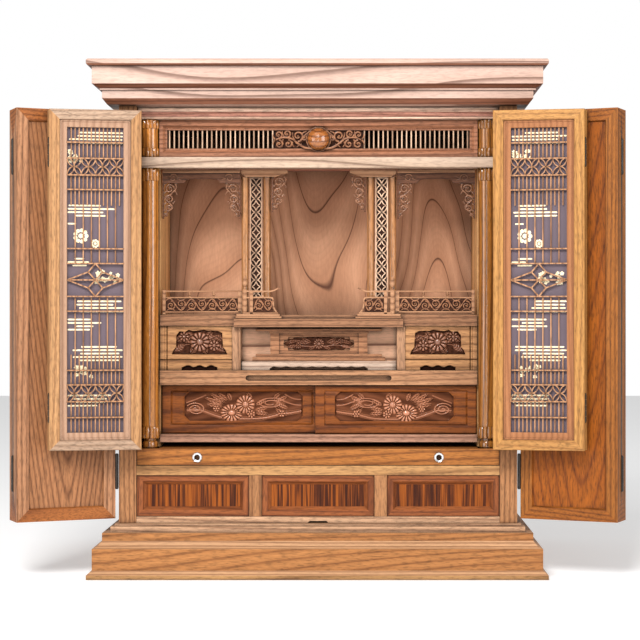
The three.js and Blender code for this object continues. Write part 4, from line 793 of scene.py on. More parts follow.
def lattice_bars(x0, x1, z0, z1, mid):
    shape = Shape()
    z_mid, reach, half = (z0 + z1) / 2, (z1 - z0) / 2, BAR / 2
    front, rear = mid - BAR_DEPTH, mid + BAR_DEPTH
    for share in BAR_SHARES:
        for sign in (-1, 1):
            z = z_mid + sign * share * reach
            shape.box(x0 - 0.5, x1 + 0.5, front, mid, z - half, z + half)
    for i in range(1, DENSE_COLUMNS):
        x = x0 + (x1 - x0) * i / DENSE_COLUMNS
        stop = STUB_SHARE if i % 2 else BAR_SHARES[0]
        for sign in (-1, 1):
            for shares in ((BAR_SHARES[4], 1.0), (stop, BAR_SHARES[3])):
                za, zb = sorted(z_mid + sign * share * reach for share in shares)
                shape.box(x - half * 0.9, x + half * 0.9, mid, rear, za, zb)
    pitch = (x1 - x0) / BAND_CELLS
    for sign in (-1, 1):
        za, zb = sorted(z_mid + sign * reach * BAR_SHARES[k] for k in (3, 4))
        for x in (x0 + cell * pitch for cell in range(BAND_CELLS)):
            shippo_cell(shape, x, x + pitch, za, zb, BAND_STRIP, front + 0.3, mid)
    lattice_star(shape, x0, x1, z_mid, reach * BAR_SHARES[0], front + 0.1, mid)
    return shape


# The gold print of one leaf: flat outlines of mist bars, blossoms and rosettes on both faces
def gold_print(name, body, matrix, x0, x1, z0, z1, y, seed):
    shape = Shape()
    pick = random.Random(seed)
    width, height = x1 - x0, z1 - z0

    def flat(outline):
        for lift in (-PRINT_LIFT, PRINT_LIFT):
            shape.add([(x, y + lift, z) for x, z in outline], [range(len(outline))])

    groups = ((0.985, 0.1, 1.0, 4), (0.745, 0.0, 0.75, 4), (0.685, 0.0, 0.2, 1),
              (0.57, 0.0, 0.4, 3), (0.43, 0.3, 1.0, 4), (0.37, 0.05, 0.6, 4),
              (0.28, 0.2, 1.0, 5), (0.12, 0.0, 0.7, 4))
    r = MIST_RADIUS
    for share, start, end, rows in groups:
        for row in range(rows):
            z = z0 + height * share - row * MIST_PITCH
            xa = x0 + width * max(0.0, start + pick.uniform(-0.15, 0.15))
            xb = max(x0 + width * min(1.0, end + pick.uniform(-0.2, 0.1)), xa + 10.0)
            flat(arc(xb - r, z, r, r, -90, 90, 5) + arc(xa + r, z, r, r, 90, 270, 5))
    for share, place, count in ((0.91, 0.12, 10), (0.51, 0.7, 18), (0.2, 0.3, 12)):
        for _ in range(count):
            radius = pick.uniform(1.8, 3.2)
            bx = x0 + width * place + pick.uniform(-12.0, 14.0)
            bz = z0 + height * share + pick.uniform(-7.0, 6.0)
            bx = min(max(bx, x0 + radius), x1 - radius)
            turn = pick.uniform(0.0, 1.2)
            petals = []
            for angle in (math.tau * i / 30 + turn for i in range(30)):
                reach = radius * (0.62 + 0.38 * abs(math.cos(2.5 * (angle - turn))))
                petals.append((bx + reach * math.cos(angle), bz + reach * math.sin(angle)))
            flat(petals)
    for share, place, radius in ((0.645, 0.24, 9.5), (0.62, 0.5, 5.5)):
        x, z = x0 + width * place, z0 + height * share
        for across, up in turns(9):
            flat(arc(x + radius * 0.68 * across, z + radius * 0.68 * up, radius * 0.25,
                     radius * 0.25, 0, 330, 7))
        flat(arc(x, z, radius * 0.3, radius * 0.3, 0, 330, 9))
    return shape.build(f"gold_print_{name}", ["gold"], body, matrix, "gauze")


# The gauze of one leaf, stretched between its stiles, with its gold print
def gauze_sheet(name, body, matrix, x0, x1, z0, z1, y, seed, columns=8, rows=36):
    shape = Shape()
    grid = [(x0 + (x1 - x0) * i / columns, y, z0 + (z1 - z0) * j / rows)
            for j in range(rows + 1) for i in range(columns + 1)]
    starts = (j * (columns + 1) + i for j in range(rows) for i in range(columns))
    shape.add(grid, [(a, a + 1, a + columns + 2, a + columns + 1) for a in starts])
    sheet = shape.build(f"gauze_{name}", ["cloth"], body, matrix, "gauze")
    e = PRINT_INSET
    prints = gold_print(name, body, matrix, x0 + e, x1 - e, z0 + e, z1 - e, y, seed)


def lattice_leaf(side, s, leaf, matrix, u0, u1, y0, seed):
    name, body, node = f"{side}_{leaf}", f"lattice_{side}_{leaf}", f"lattice_door_{side}_{leaf}"
    low, high = box_mm(node)
    x0, x1 = sorted((-s * u0, -s * u1))
    y1, z0, z1 = y0 + LEAF_THICK, low.z, high.z
    front = ((0.0, 0.7), (0.7, 0.0), (LEAF_STILE - 0.6, 0.0), (LEAF_STILE, 0.6),
             (LEAF_STILE + 0.3, 2.0), (LEAF_STILE + 2.2, 2.3), (LEAF_STILE + 2.6, 3.0),
             (LEAF_EDGE - 1.0, 3.1), (LEAF_EDGE, 3.7))
    profile = [(inset, y0 + deep) for inset, deep in front]
    profile += [(inset, y1 - deep) for inset, deep in reversed(front)]
    shape = Shape()
    shape.moulded_frame(x0, x1, z0, z1, profile, LEAF_STILE)
    # Each side's leaves take their own lit or shaded copy of the leaf woods
    keys = [f"leaf_{side}_{part}" for part in ("upright", "level", "moulding")]
    shape.build(f"lattice_{name}_frame", keys, body, matrix, "pale_wood", 30.0)
    e = LEAF_EDGE
    bars = lattice_bars(x0 + e, x1 - e, z0 + e, z1 - e, (y0 + y1) / 2)
    piece = bars.build(f"lattice_{name}_lattice", ["lattice"], body, matrix, "pale_wood", 30.0)
    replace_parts(piece, node)
    e = LEAF_EDGE - GAUZE_LAP
    gauze_sheet(name, body, matrix, x0 + e, x1 - e, z0 + e, z1 - e, y1 - GAUZE_BACK, seed + s)
    return z0 + LEAF_BARREL_Z, z1 - LEAF_BARREL_Z


def dress_lattice_doors():
    for side, s in SIDES:
        matrix, fold_at, _ = door_frames("lattice", "lattice_fold", side, s)
        turn = math.radians(round(2 * JOINTS[f"lattice_fold_{side}"]["range_deg"][1]) / 2)
        matrix_b = Matrix.Translation(fold_at) @ (
            matrix.to_3x3().to_4x4() @ Matrix.Rotation(-s * turn, 4, "Z"))
        hinge_x, gap = abs(JOINTS[f"lattice_{side}"]["pos_m"][0]) / MM, FOLD_GAP
        fold_u = (hinge_x + HANGING_GAP) / 2
        zs = lattice_leaf(side, s, "a", matrix, HANGING_GAP, fold_u - gap / 2, 0.5, 11.0)
        lattice_leaf(side, s, "b", matrix_b, gap / 2, hinge_x - fold_u - gap, -gap / 2 - LEAF_THICK,
                     21.0)
        for name, x, y in (("fold", -s * fold_u, LEAF_BARREL_BACK), ("case", 0.0, 0.0)):
            hinge(f"hinge_lattice_{name}_{side}", f"lattice_{side}_a", matrix, x, y, zs,
                  LEAF_BARREL_R, LEAF_BARREL_LENGTH)


# Interlaced strips between the posts
def interlaced_strips(side, _):
    node = f"interlace_strip_{side}"
    low, high = box_mm(node)
    rail = 1.2
    x0, x1, z0, z1 = low.x + rail, high.x - rail, low.z + rail, high.z - rail
    shape = Shape()
    for a, b, c, d in ((low.x, x0, low.z, high.z), (x1, high.x, low.z, high.z), (x0, x1, low.z, z0),
                       (x0, x1, z1, high.z)):
        shape.box(a, b, low.y, high.y, c, d)
    cells = round((high.z - low.z) / (high.x - low.x + 0.8))
    pitch = (z1 - z0) / cells
    for z in (z0 + cell * pitch for cell in range(cells)):
        shippo_cell(shape, low.x + rail * 0.8, high.x - rail * 0.8, z, z + pitch, 1.15, low.y + 0.2,
                    high.y - 0.7)
    # A thin dark sheet behind the strips: painted shade in their openings
    shape.box(x0, x1, high.y - 0.6, high.y, z0, z1, 1)
    shape.carve(f"strip_{side}", node, ["strip", "dark"])


# Sliding doors: a panel with a sunk cartouche, in which blossoms and leaves lie beside a stream.
# u runs from the middle of the panel towards its outer end.
CARTOUCHE_HALF = 71.0
CARTOUCHE_HIGH = 17.5
CARTOUCHE_CUT = 6.0
CARTOUCHE_SINK = 3.2


def stream_scene(u, v):
    layers = [0.16 + 0.07 * np.sin(u * 0.16 + v * 0.5)]
    stream = smooth_line((68, -5), (52, -5), (38, -10), (22, -14.5), (0, -15.5), (-24, -14.5),
                         (-44, -10), (-58, -8), (-69, -6))
    lines = [([(a, b + shift) for a, b in stream], width, height)
             for shift, width, height in ((0.0, 3.0, 0.55), (2.3, 1.4, 0.42), (-2.0, 1.4, 0.4))]
    lines.append((spiral(58, -3.5, 11.5, 7.5, 30, 800, 0.12, 40), 2.0, 0.62))
    lines.append((spiral(-33, 3.5, 17.0, 6.5, 160, -640, 0.3, 40), 1.9, 0.55))
    for turn in (math.radians(180 - angle) for angle in range(-70, 90, 16)):
        spoke = [(-35 + a * math.cos(turn), 3.5 + b * math.sin(turn))
                 for a, b in ((5, 2.5), (15, 8))]
        lines.append((spoke, 1.2, 0.5))
    for points in ([(69, 4), (58, 8), (46, 13)], [(-50, 14), (-60, 9), (-69, 8)],
                   [(-48, 6), (-60, 2), (-69, 1)]):
        lines.append((smooth_line(*points), 2.2, 0.5))
    layers += [ridge(u, v, *line) for line in lines]
    fan = ((24, -1, 46, 3), (24, 2, 47, 10), (22, 4, 41, 15.5), (19, 6, 31, 16), (15, 6, 19, 16.5),
           (-10, 8, -4, 16.5), (-13, -5, -29, -2), (-13, -8, -30, -9), (-14, 1, -27, 8),
           (-38, -3, -52, -12), (-41, 2, -54, -3), (-40, 6, -53, 12), (-36, 9, -44, 16))
    layers += [leaf_relief(u, v, *leaf, 6.2) for leaf in fan]
    blossoms = ((14.5, -8.0, 13.5, 16, 0.78), (-2.0, 2.0, 11.5, 14), (-9.0, -9.5, 5.0, 7),
                (33.0, -3.0, 4.2, 6), (-46.0, -9.0, 4.4, 6))
    return with_blossoms(u, v, layers, blossoms, 0.05)


def outside_cartouche(u, v):
    au, av = np.abs(u) - CARTOUCHE_HALF, np.abs(v) - CARTOUCHE_HIGH
    return np.maximum.reduce([au, av, (au + av + CARTOUCHE_CUT) * 0.7])


def nearest_edge(x, z, low, high, side, foot, top):
    return np.minimum.reduce([x - low.x - side, high.x - side - x, z - low.z - foot,
                              high.z - top - z])


def sliding_door(side, s):
    node = f"sliding_door_{side}"
    low, high = box_mm(node)
    cx, cz = (low.x + high.x) / 2 - s * 2.0, (low.z + high.z) / 2 + 3.5

    def depths(x, z):
        u, v = s * (x - cx), z - cz
        edge = nearest_edge(x, z, low, high, 11.0, 10.0, 7.0)
        frame_step = 1.1 * np.exp(-((edge - 0.6) / 0.8) ** 2) + 0.4 * smooth_step(0.0, 2.0, edge)
        rim = nearest_edge(x, z, low, high, 0.0, 0.0, 0.0)
        rounding = 0.6 * (1.0 - smooth_step(0.0, 1.2, rim))
        outside = outside_cartouche(u, v)
        inside = 1.0 - smooth_step(-0.9, 0.3, outside)
        lip = 0.35 * np.exp(-((outside - 0.9) / 0.6) ** 2)
        height = stream_scene(u, v)
        depth = frame_step + rounding - lip + inside * (CARTOUCHE_SINK - 0.4 - 2.7 * height)
        shown = np.where(outside < 0.4, np.clip(height * 1.1, 0.0, 1.0), 1.0)
        return np.maximum(depth, 0.0), shown

    def carved(x, z):
        return outside_cartouche(s * (x - cx), z - cz) < 0.3

    relief_slab(f"slider_{side}_carving", node, 0.5, depths, carved, ["slider", "relief"],
                f"slider_{side}", "case_wood")


# Header over the transom: a sunk band between two lips
def header():
    low, high = box_mm("header_board")
    sunk, lip, band = 2.6, low.z + 2.4, low.z + 8.6
    shape = Shape()
    # The two lips take the paler lip wood and the sunk band the header wood: painted highlight
    # along the edges
    shape.eased(low.x, high.x, low.y, high.y, low.z, lip, 0.5, 1)
    shape.box(low.x, high.x, low.y + sunk, high.y, lip, band)
    shape.eased(low.x, high.x, low.y, high.y, band, high.z, 0.5, 1)
    shape.carve("header_moulding", "header_board", ["header", "header_lip"], "case_wood")


# Corner columns: smooth shafts with fluted collars under and over the beam and at the foot
def column(side, _):
    node = f"column_{side}"
    low, high = box_mm(node)
    x, y = (low.x + high.x) / 2, (low.y + high.y) / 2
    collar = (high.x - low.x) / 2
    r = collar - 0.9
    beam_low, beam_high = box_mm("cross_beam")
    under, over = beam_low.z - 0.3, beam_high.z + 0.3
    foot = ((0.85, 0), (0.9, 0.6), (0.9, 5.5), (0.84, 7.5), (0.72, 8.5), (0.72, 11))
    collars = ((low.z + 11, low.z + 25), (under - 15, under), (over, over + 11),
               (high.z - 11, high.z))
    shape = Shape()
    shape.turned([(r * share, low.z + rise) for share, rise in foot], x, y, 48)
    for below, above in (collars[:2], collars[2:]):
        shape.turned([(r, below[1]), (r, above[0])], x, y, 48)
    for z0, z1 in collars:
        shape.fluted(collar, z0, z1, x, y)
    # Each column takes its side's lit or shaded copy of the column wood
    shape.carve(f"column_{side}_turned", node, [f"column_{side}"], "column_wood")
    for post in (f"post_{side}_outer", f"post_{side}_inner"):
        low, high = box_mm(post)
        radius = (high.x - low.x) / 2
        shape = Shape()
        shape.turned([(radius, low.z), (radius, low.z + 2.0), (radius * 0.9, low.z + 3.0),
                      (radius * 0.9, high.z - 3.0), (radius, high.z - 2.0), (radius, high.z)],
                     (low.x + high.x) / 2, (low.y + high.y) / 2, 32)
        shape.carve(f"{post}_turned", post, ["slim_post"], "column_wood")


# Openwork scrolls
def boss(shape, x, z, radius, y, height, slot=0):
    loops = []
    for share in (1.0, 0.92, 0.7, 0.35):
        front = y - height * math.sqrt(1.0 - share * share)
        loops.append([(x + radius * share * across, front, z + radius * share * up)
                      for across, up in turns(12)])
    shape.lofted(loops, slot)


def transom_scroll():
    low, high = box_mm("transom_scroll")
    cz, limit = (low.z + high.z) / 2, (high.z - low.z) / 2 - 1.4
    y = low.y + 1.6
    ball_low, ball_high = box_mm("ball")
    seat = (ball_high.x - ball_low.x) / 2 + 0.9
    stem = smooth_line((7, -limit), (16, -limit + 1), (24, -limit * 0.5), (32, 0.6), (42, 2.0),
                       (51, -0.5))
    sprig = smooth_line((9, limit - 1), (17, 4), (22, -2), (27, -5.2))
    curls = ((24.5, 3.8, 6.6, 270, -430), (37.5, 6.6, 4.6, 270, -430), (36, -5.6, 4.8, 90, 430),
             (47.5, 5.4, 4.6, 270, -430), (47, -5.9, 4.9, 90, 430), (17, 1.5, 3.4, 120, 400))
    leaves = ((28, -2, 31, 8), (31, -3, 29, -9.5), (41, 3, 43, 10), (42, 0, 43, -9),
              (19, 7, 14, 9.5), (20, -6, 26, -9.5), (52, 0, 54, 6), (52, -1, 54, -7))
    shape = Shape()
    shape.strand(arc(0.0, cz, seat, seat, 0, 360, 48), 1.0, 1.0, y + 0.4)
    for s in (-1, 1):
        strands = [(stem, 1.5, 0.9, -0.1), (sprig, 1.1, 0.8, 0.2)]
        for x, z, r, start, turn in curls:
            strands.append((spiral(x, z, r, r, start, turn), 1.2, 0.7, 0.0))
            boss(shape, s * x, cz + z, 1.3, y + 0.4, 1.6)
        for ax, az, bx, bz in leaves:
            line = smooth_line((ax, az), ((ax + bx) / 2 + 1.0, (az + bz) / 2), (bx, bz))
            strands.append((line, 1.0, 0.4, 0.2))
        for points, r0, r1, lift in strands:
            shape.strand([(s * x, cz + z) for x, z in points], r0, r1, y + lift)
    shape.carve("scroll_carving", "transom_scroll", ["carved"])


# Hanging scrolls beside a thin strip; way is the side they grow to
def tracery(shape, x, way, z_top, y0, y1):
    y = (y0 + y1) / 2
    shape.eased(x, x + way * 1.8, y0, y1, z_top - 43.0, z_top + 0.8, 0.4)
    strands = [(smooth_line((14.5, 0.5), (16.5, -6), (10, -13.5), (3.4, -19), (10, -26), (12, -30),
                            (6, -35), (2.5, -41)), 1.1, 0.8)]
    for px, pz, r, start, turn in ((8.6, -7.0, 5.6, 0, 520), (8.0, -19.5, 5.2, 180, -520),
                                   (7.2, -31.0, 4.2, 0, 480), (4.6, -38.6, 2.0, 180, -360)):
        strands.append((spiral(px, pz, r, r, start, turn), 1.1, 0.6))
        boss(shape, x + way * px, z_top + pz, 1.3, y, 1.6, 2)
    for ax, az, bx, bz in ((2, -2, 6, 0), (2, -13, 5, -10), (2, -26, 5, -24), (15, -10, 17.5, -14),
                           (12.5, -25, 15, -22), (2, -34, 4, -33), (15, -2, 18.5, -1)):
        strands.append(([(ax, az), ((ax + bx) / 2, (az + bz) / 2 + 0.8), (bx, bz)], 1.0, 0.5))
    # Strands and bosses take slot 2, the paler wood: painted highlight on them
    for points, r0, r1 in strands:
        shape.strand([(x + way * px, z_top + pz) for px, pz in points], r0, r1, y, slot=2)


def bay_head(side, s):
    node = f"bay_head_{side}"
    low, high = box_mm(node)
    outer, inner = (low.x, high.x)[::-s]
    top, y0, y1 = high.z, high.y - 4.0, high.y
    board, step = top - 16.0, top - 11.0
    shape = Shape()
    shape.plate([(outer, top), (outer, board), (outer - s * 26, board), (outer - s * 29, step - 1),
                 (outer - s * 36, step), (inner + s * 34, step), (inner + s * 27, step - 1),
                 (inner + s * 24, board), (inner, board), (inner, top)], y0, y1)
    shape.eased(outer, inner, y0 - 2.3, y1, top - 4.0, top, 0.5, 1)
    for end, way in ((outer, -s), (inner, s)):
        tracery(shape, end, way, board, y0, y1)
        curl = spiral(end + way * 13, board + 6, 5.4, 5.4, 200 if way < 0 else -20, way * 500)
        shape.strand(curl, 0.9, 0.5, y0 - 0.1, slot=2)
        for ax, bx, bz in ((18, 25, 8.0), (8, 2, 9.0), (17, 23, 3.0)):
            shape.strand([(end + way * ax, board + 6), (end + way * bx, board + bz)], 0.9, 0.3,
                         y0 - 0.1, slot=2)
    shape.carve(f"bay_head_{side}_carving", node, ["tracery", "railing", "scroll"])


def post_cap(side, s):
    node = f"post_cap_{side}"
    low, high = box_mm(node)
    outer, inner = (low.x, high.x)[::-s]
    top, bottom = high.z, high.z - 8.7
    edge = s * (abs(inner) + 19.0)
    shape = Shape()
    shape.plate([(outer, top), (outer, top - 3), (outer - s * 2, top - 6), (outer - s * 6, bottom),
                 (edge - s * 4, bottom), (inner + s * 5, bottom + 3), (inner, bottom + 5),
                 (inner, top)], low.y, high.y, 1)
    tracery(shape, edge, -s, bottom + 1.0, low.y + 1.0, low.y + 4.0)
    shape.carve(f"post_cap_{side}_carving", node, ["tracery", "railing", "scroll"])


# Railings: rounded rails over a running vine, a newel with a bud, and a short return towards the
# middle bay. Heights are above the upper shelf.
RAIL_TOP = 29.0
RAIL_SECOND = 21.4
RAIL_LOW = 4.4
RAIL_BUD = 17.0
VINE_MIDDLE = (RAIL_SECOND + RAIL_LOW) / 2 - 0.8
VINE_REACH = (RAIL_SECOND - RAIL_LOW) / 2 - 0.6


def vine(shape, xa, xb, base, y, bends):
    z_mid, reach = base + VINE_MIDDLE, VINE_REACH
    step = (xb - xa) / bends
    stem = [(xa, z_mid - reach * 0.6)]
    for i in range(bends):
        up = -1 if i % 2 else 1
        x, z = xa + step * (i + 0.5), z_mid - up * reach * 0.15
        stem.append((x, z_mid + up * reach * 0.85))
        curl = spiral(x, z, reach * 0.7, reach * 0.7, 90 * up, -up * 520)
        shape.strand(curl, 1.0, 0.6, y, slot=1)
        boss(shape, x, z, 1.3, y, 1.6, 1)
        for dx, dz in ((-0.42, 0.95), (0.42, 0.9)):
            tip = (x + dx * step, z_mid - up * reach * dz)
            shape.strand([(x, z_mid - up * reach * 0.5), tip], 0.9, 0.4, y, slot=1)
    stem.append((xb, z_mid + reach * 0.6))
    shape.strand(smooth_line(*stem), 1.0, 0.9, y - 0.2, slot=1)


def railing(side, s):
    node = f"railing_{side}"
    low, high = box_mm(node)
    base = high.z - RAIL_TOP - RAIL_BUD
    top, second, rail_low = base + RAIL_TOP, base + RAIL_SECOND, base + RAIL_LOW
    newel_x = abs(sum(corner.x for corner in box_mm(f"post_{side}_outer"))) / 2 - 0.8
    outer, inner = low.x if s < 0 else high.x, s * (newel_x + 4.6)
    y0 = low.y + 6.8
    y1, ym, post, rail = y0 + 2.8, y0 + 1.4, 4.0, 1.0
    shape = Shape()
    shape.eased(outer, outer - s * post, y0, y1, base, top + 0.6, 0.5)
    shape.eased(inner - s * 3, inner + s * post, y0, y1, base, top, 0.5)
    for z in (top - rail, second - rail):
        shape.strand([(outer, z), (inner, z)], rail, rail, ym, 1.3)
    shape.eased(outer, inner, y0, y1, rail_low - 2, rail_low, 0.4)
    shape.eased(outer, inner, y0 + 0.4, y1, base, base + 1.0, 0.3)
    start = abs(inner) + post
    span = abs(outer) - post - start
    for share in (1 / 3, 2 / 3):
        x = s * (start + span * share)
        shape.strand([(x, second - rail), (x, top - rail)], 1.2, 1.2, ym)
        boss(shape, x, (top + second) / 2 - rail, 2.0, ym, 2.2)
    shape.box(inner, outer, y0 + 2.0, y1, rail_low - 1, second - 1, 2)
    vine(shape, s * start, s * (start + span), base, y0 + 1.2, 7)
    railing_return(shape, s, newel_x, base, low)
    shape.turned([(3.4, base), (3.4, top), (2.8, top + 0.6), (1.5, top + 1.8), (1.4, top + 4),
                  (2.6, top + 5.6), (3.3, top + 8), (3.0, top + 11), (1.8, top + 14),
                  (0.3, top + RAIL_BUD)], s * newel_x, low.y + 5.5, 20)
    shape.carve(f"railing_{side}_carving", node, ["railing", "carved", "dark"])


def railing_return(shape, s, newel_x, base, low):
    end, start = newel_x - 38, newel_x - 1
    foot, front, top, second = low.z, low.y, base + RAIL_TOP, base + RAIL_SECOND
    y0, y1 = front + 2.0, front + 4.6
    ym = (y0 + y1) / 2
    shape.eased(s * (newel_x + 11), s * (end - 6), front, front + 5.7, foot, foot + 2.4, 0.5)
    shape.eased(s * (newel_x + 10), s * (end - 4), front + 1, front + 5.7, foot + 2.2, base + 1,
                0.5)
    shape.eased(s * start, s * (end - 2), y0, y1, base + 0.5, base + 3, 0.4)
    shape.strand(smooth_line((s * start, top - 1), (s * (end + 12), top - 1.2),
                             (s * (end + 5), top - 0.6), (s * (end - 3), top + 3)), 1.2, 0.9, ym)
    shape.strand(smooth_line((s * start, second - 1), (s * (end + 9), second - 1),
                             (s * (end + 4.5), second - 3), (s * (end + 3.6), base + 9),
                             (s * (end - 0.5), base + 1.8)), 1.1, 1.0, ym)
    shape.eased(s * (start - 5), s * (start - 9), y0, y1, base, top - 1, 0.4)
    pin = s * (end + 16.5)
    shape.strand([(pin, second - 1), (pin, top - 1)], 1.2, 1.2, ym)
    shape.box(s * (start - 8), s * (end + 5), y1 - 0.8, y1, base + 2.5, second - 1, 2)
    vine(shape, s * (start - 10), s * (end + 4.5), base, y0 + 1.2, 2)


# Carved panels: a twig with leaves and blossoms, as shares of the panel
def garden_scene(u, v, half, high):
    layers = [0.12 + 0.06 * np.sin(u * 0.9 + v * 0.7) * np.cos(v * 0.8)]
    twig = smooth_line((-half, -high * 0.8), (-half * 0.5, -high * 0.35), (0.0, -high * 0.5),
                       (half * 0.5, -high * 0.2), (half, -high * 0.75))
    layers.append(ridge(u, v, twig, 1.8, 0.55))
    leaves = ((-0.2, 0.1, -0.5, 0.85), (-0.25, 0.0, -0.72, 0.45), (0.2, 0.1, 0.52, 0.8),
              (0.25, 0.0, 0.78, 0.4), (-0.1, -0.3, -0.3, -0.95), (0.12, -0.3, 0.36, -0.95),
              (-0.6, -0.2, -0.98, -0.75), (0.6, -0.2, 0.98, -0.75), (-0.62, 0.5, -0.95, 0.1),
              (0.62, 0.5, 0.92, 0.05))
    for ax, az, bx, bz in leaves:
        layers.append(leaf_relief(u, v, ax * half, az * high, bx * half, bz * high, high * 0.62))
    blossoms = [(cx * half, cz * high, share * high, petals) for cx, cz, share, petals in
                ((0.0, 0.0, 0.8, 12), (-0.58, -0.3, 0.45, 8), (0.62, 0.42, 0.42, 8))]
    return with_blossoms(u, v, layers, blossoms, 0.04)


def small_panel(side, s):
    node = f"small_panel_{side}"
    low, high = box_mm(node)
    outer, inner = (low.x, high.x)[::-s]
    mid = (outer - s * 8.0 + inner) / 2
    z0, half_high = low.z + 19.0, (high.z - 4.0 - low.z - 19.0) / 2
    outline = [(-33, 0), (33, 0), (31, 5), (28, 9), (27.5, 24), (24, 29), (17, 28.5), (13, 31),
               (8, 29.5), (4, 29.8), (-6, 31.2), (-10, 29.6), (-14, 30), (-22, 29.6), (-27, 27),
               (-28, 9), (-31, 5)]
    outline = [(a, b * (half_high * 2 / 31.7)) for a, b in outline]

    def outside_cut(x, z):
        cusp = 4.6 + 1.2 * np.cos((x - mid) * math.tau / 14.0)
        return np.maximum(np.abs(x - mid) - 21.0, (z - low.z) - cusp)

    def depths(x, z):
        u, v = s * (x - mid), z - z0
        outside, cut = outside_outline(u, v, outline), outside_cut(x, z)
        inside = 1.0 - smooth_step(-0.7, 0.4, outside)
        height = garden_scene(u, v - half_high, 30.0, half_high)
        lines = ((1.6, z - low.z - 12.5), (1.6, x - outer + s * 8.0), (0.5, np.abs(x - mid) - 42.0))
        grooves = sum(deep * np.exp(-(away / 0.5) ** 2) for deep, away in lines)
        lip = 0.3 * np.exp(-((outside - 0.9) / 0.5) ** 2)
        notch = 4.0 * (1.0 - smooth_step(-0.4, 0.3, cut))
        depth = grooves - lip + inside * (3.6 - 3.3 * height) + notch
        shown = np.where(outside < 0.3, np.clip(height * 1.1, 0.0, 1.0), 0.8)
        # The notch at the foot takes height 0 and so the darkest relief tone: painted shade in its
        # recess
        return np.maximum(depth, 0.0), np.where(cut < 0.0, 0.0, shown)

    def carved(x, z):
        in_relief = outside_outline(s * (x - mid), z - z0, outline) < 0.2
        return in_relief | (outside_cut(x, z) < -0.1)

    relief_slab(f"small_panel_{side}_carving", node, 0.5, depths, carved,
                ["small_panel", "relief_dark"], "cabinet", "carved_wood")


# The plaque has the wavy outline of a cloud
def plaque():
    low, high = box_mm("plaque")
    cx, cz = (low.x + high.x) / 2, (low.z + high.z) / 2
    half, reach = (high.x - low.x) / 2, (high.z - low.z) / 2
    cloud = []
    for turn in (math.radians(degrees) for degrees in range(0, 360, 6)):
        wave, across, up = 0.93 + 0.06 * math.cos(12.0 * turn), math.cos(turn), math.sin(turn)
        cloud.append((half * wave * math.copysign(abs(across) ** 0.5, across),
                      reach * wave * math.copysign(abs(up) ** 0.6, up)))

    def depths(x, z):
        ground = smooth_step(-0.3, 0.3, outside_outline(x - cx, z - cz, cloud))
        height = garden_scene(x - cx, z - cz, half, reach)
        depth = (1.0 - ground) * (2.6 - 2.5 * height) + ground * (high.y - low.y - 0.3)
        return depth, np.clip(height * 1.1, 0.0, 1.0)

    def carved(x, z):
        return outside_outline(x - cx, z - cz, cloud) < 0.1

    relief_slab("plaque_carving", "plaque", 0.4, depths, carved, ["table", "relief_dark"],
                "cabinet", "carved_wood")


# Camera, light and floor
CAMERA_X = 0.05
CAMERA_DISTANCE = 2.177
CAMERA_HEIGHT = 0.302
FOCAL_PX = 1845.0
IMAGE_PX = 640.0
CENTRE_PX = (318.0, 320.0)
SENSOR_MM = 36.0
AMBIENT = 0.45
FLOOR_HALF = 5.0
FLOOR_DROP = 0.0005
AIM = (0.0, 0.0, 0.3)
WHITE = (1.0, 1.0, 1.0, 1.0)


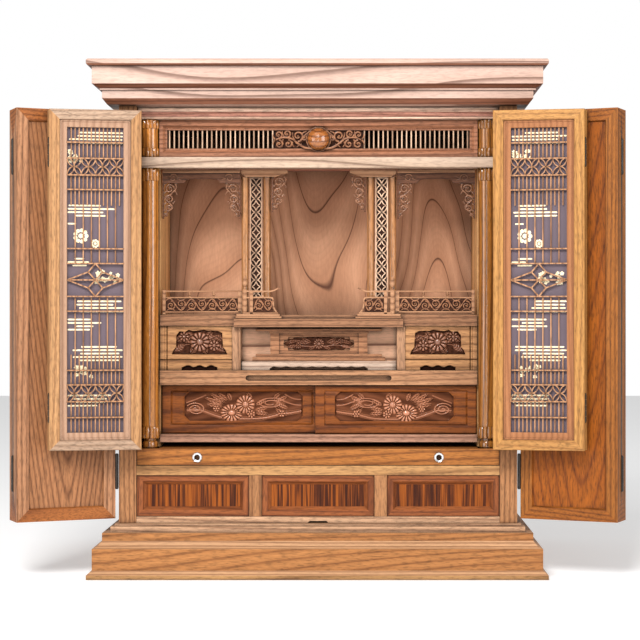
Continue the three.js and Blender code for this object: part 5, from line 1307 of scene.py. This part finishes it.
def set_camera():
    data = bpy.data.cameras.new("camera")
    data.sensor_width = SENSOR_MM
    data.lens = SENSOR_MM * FOCAL_PX / IMAGE_PX
    principal = CENTRE_PX[0] + FOCAL_PX * CAMERA_X / CAMERA_DISTANCE
    data.shift_x = (IMAGE_PX / 2 - principal) / IMAGE_PX
    data.shift_y = (CENTRE_PX[1] - IMAGE_PX / 2) / IMAGE_PX
    data.clip_start, data.clip_end = 0.1, 30.0
    camera = new_object("camera", data)
    camera.location = (CAMERA_X, FRONT * MM - CAMERA_DISTANCE, CAMERA_HEIGHT)
    camera.rotation_euler = (math.radians(90.0), 0.0, 0.0)
    bpy.context.scene.camera = camera


def area_light(name, location, wide, tall, power):
    data = bpy.data.lights.new(name, "AREA")
    data.shape = "RECTANGLE"
    data.size, data.size_y, data.energy = wide, tall, power
    light = new_object(name, data)
    light.location = location
    light.rotation_euler = (Vector(AIM) - Vector(location)).to_track_quat("-Z", "Y").to_euler()


def set_floor():
    made = Surface("stage_floor")
    made.finish("stage", (0.86, 0.86, 0.86, 1.0), {"Roughness": 0.9, "Emission Color": WHITE,
                                                   "Emission Strength": 0.25})
    mesh = bpy.data.meshes.new("floor")
    mesh.from_pydata([(x * FLOOR_HALF, y * FLOOR_HALF, -FLOOR_DROP)
                      for x, y in ((-1, -1), (1, -1), (1, 1), (-1, 1))], [], [(0, 1, 2, 3)])
    mesh.materials.append(M["stage"])
    new_object("floor", mesh)


# The camera sees a white sky that lights the scene with less than its full strength
def set_sky():
    world = bpy.data.worlds.new("world")
    world.use_nodes = True
    tree = world.node_tree
    background = tree.nodes["Background"]
    background.inputs["Color"].default_value = WHITE
    rays = tree.nodes.new("ShaderNodeLightPath")
    strength = tree.nodes.new("ShaderNodeMapRange")
    strength.inputs["To Min"].default_value = AMBIENT
    strength.inputs["To Max"].default_value = 1.0
    tree.links.new(rays.outputs["Is Camera Ray"], strength.inputs["Value"])
    tree.links.new(strength.outputs[0], background.inputs["Strength"])
    bpy.context.scene.world = world


FRONT = box_mm("side_left")[0].y
dress_solids()
dress_outer_doors()
dress_lattice_doors()
for make in (interlaced_strips, sliding_door, column, bay_head, post_cap, railing, small_panel):
    for side, s in SIDES:
        make(side, s)
header()
transom_scroll()
plaque()
bpy.context.scene.view_settings.view_transform = "Standard"
set_camera()
set_floor()
set_sky()
area_light("key", (-0.5, -2.6, 1.95), 0.9, 0.9, 92.0)
area_light("fill", (1.8, -2.0, 0.8), 1.0, 1.0, 26.0)
area_light("side", (-1.9, -2.0, 0.6), 1.0, 1.0, 16.0)
area_light("strip", (-0.1, -3.0, 0.6), 0.14, 1.8, 9.0)
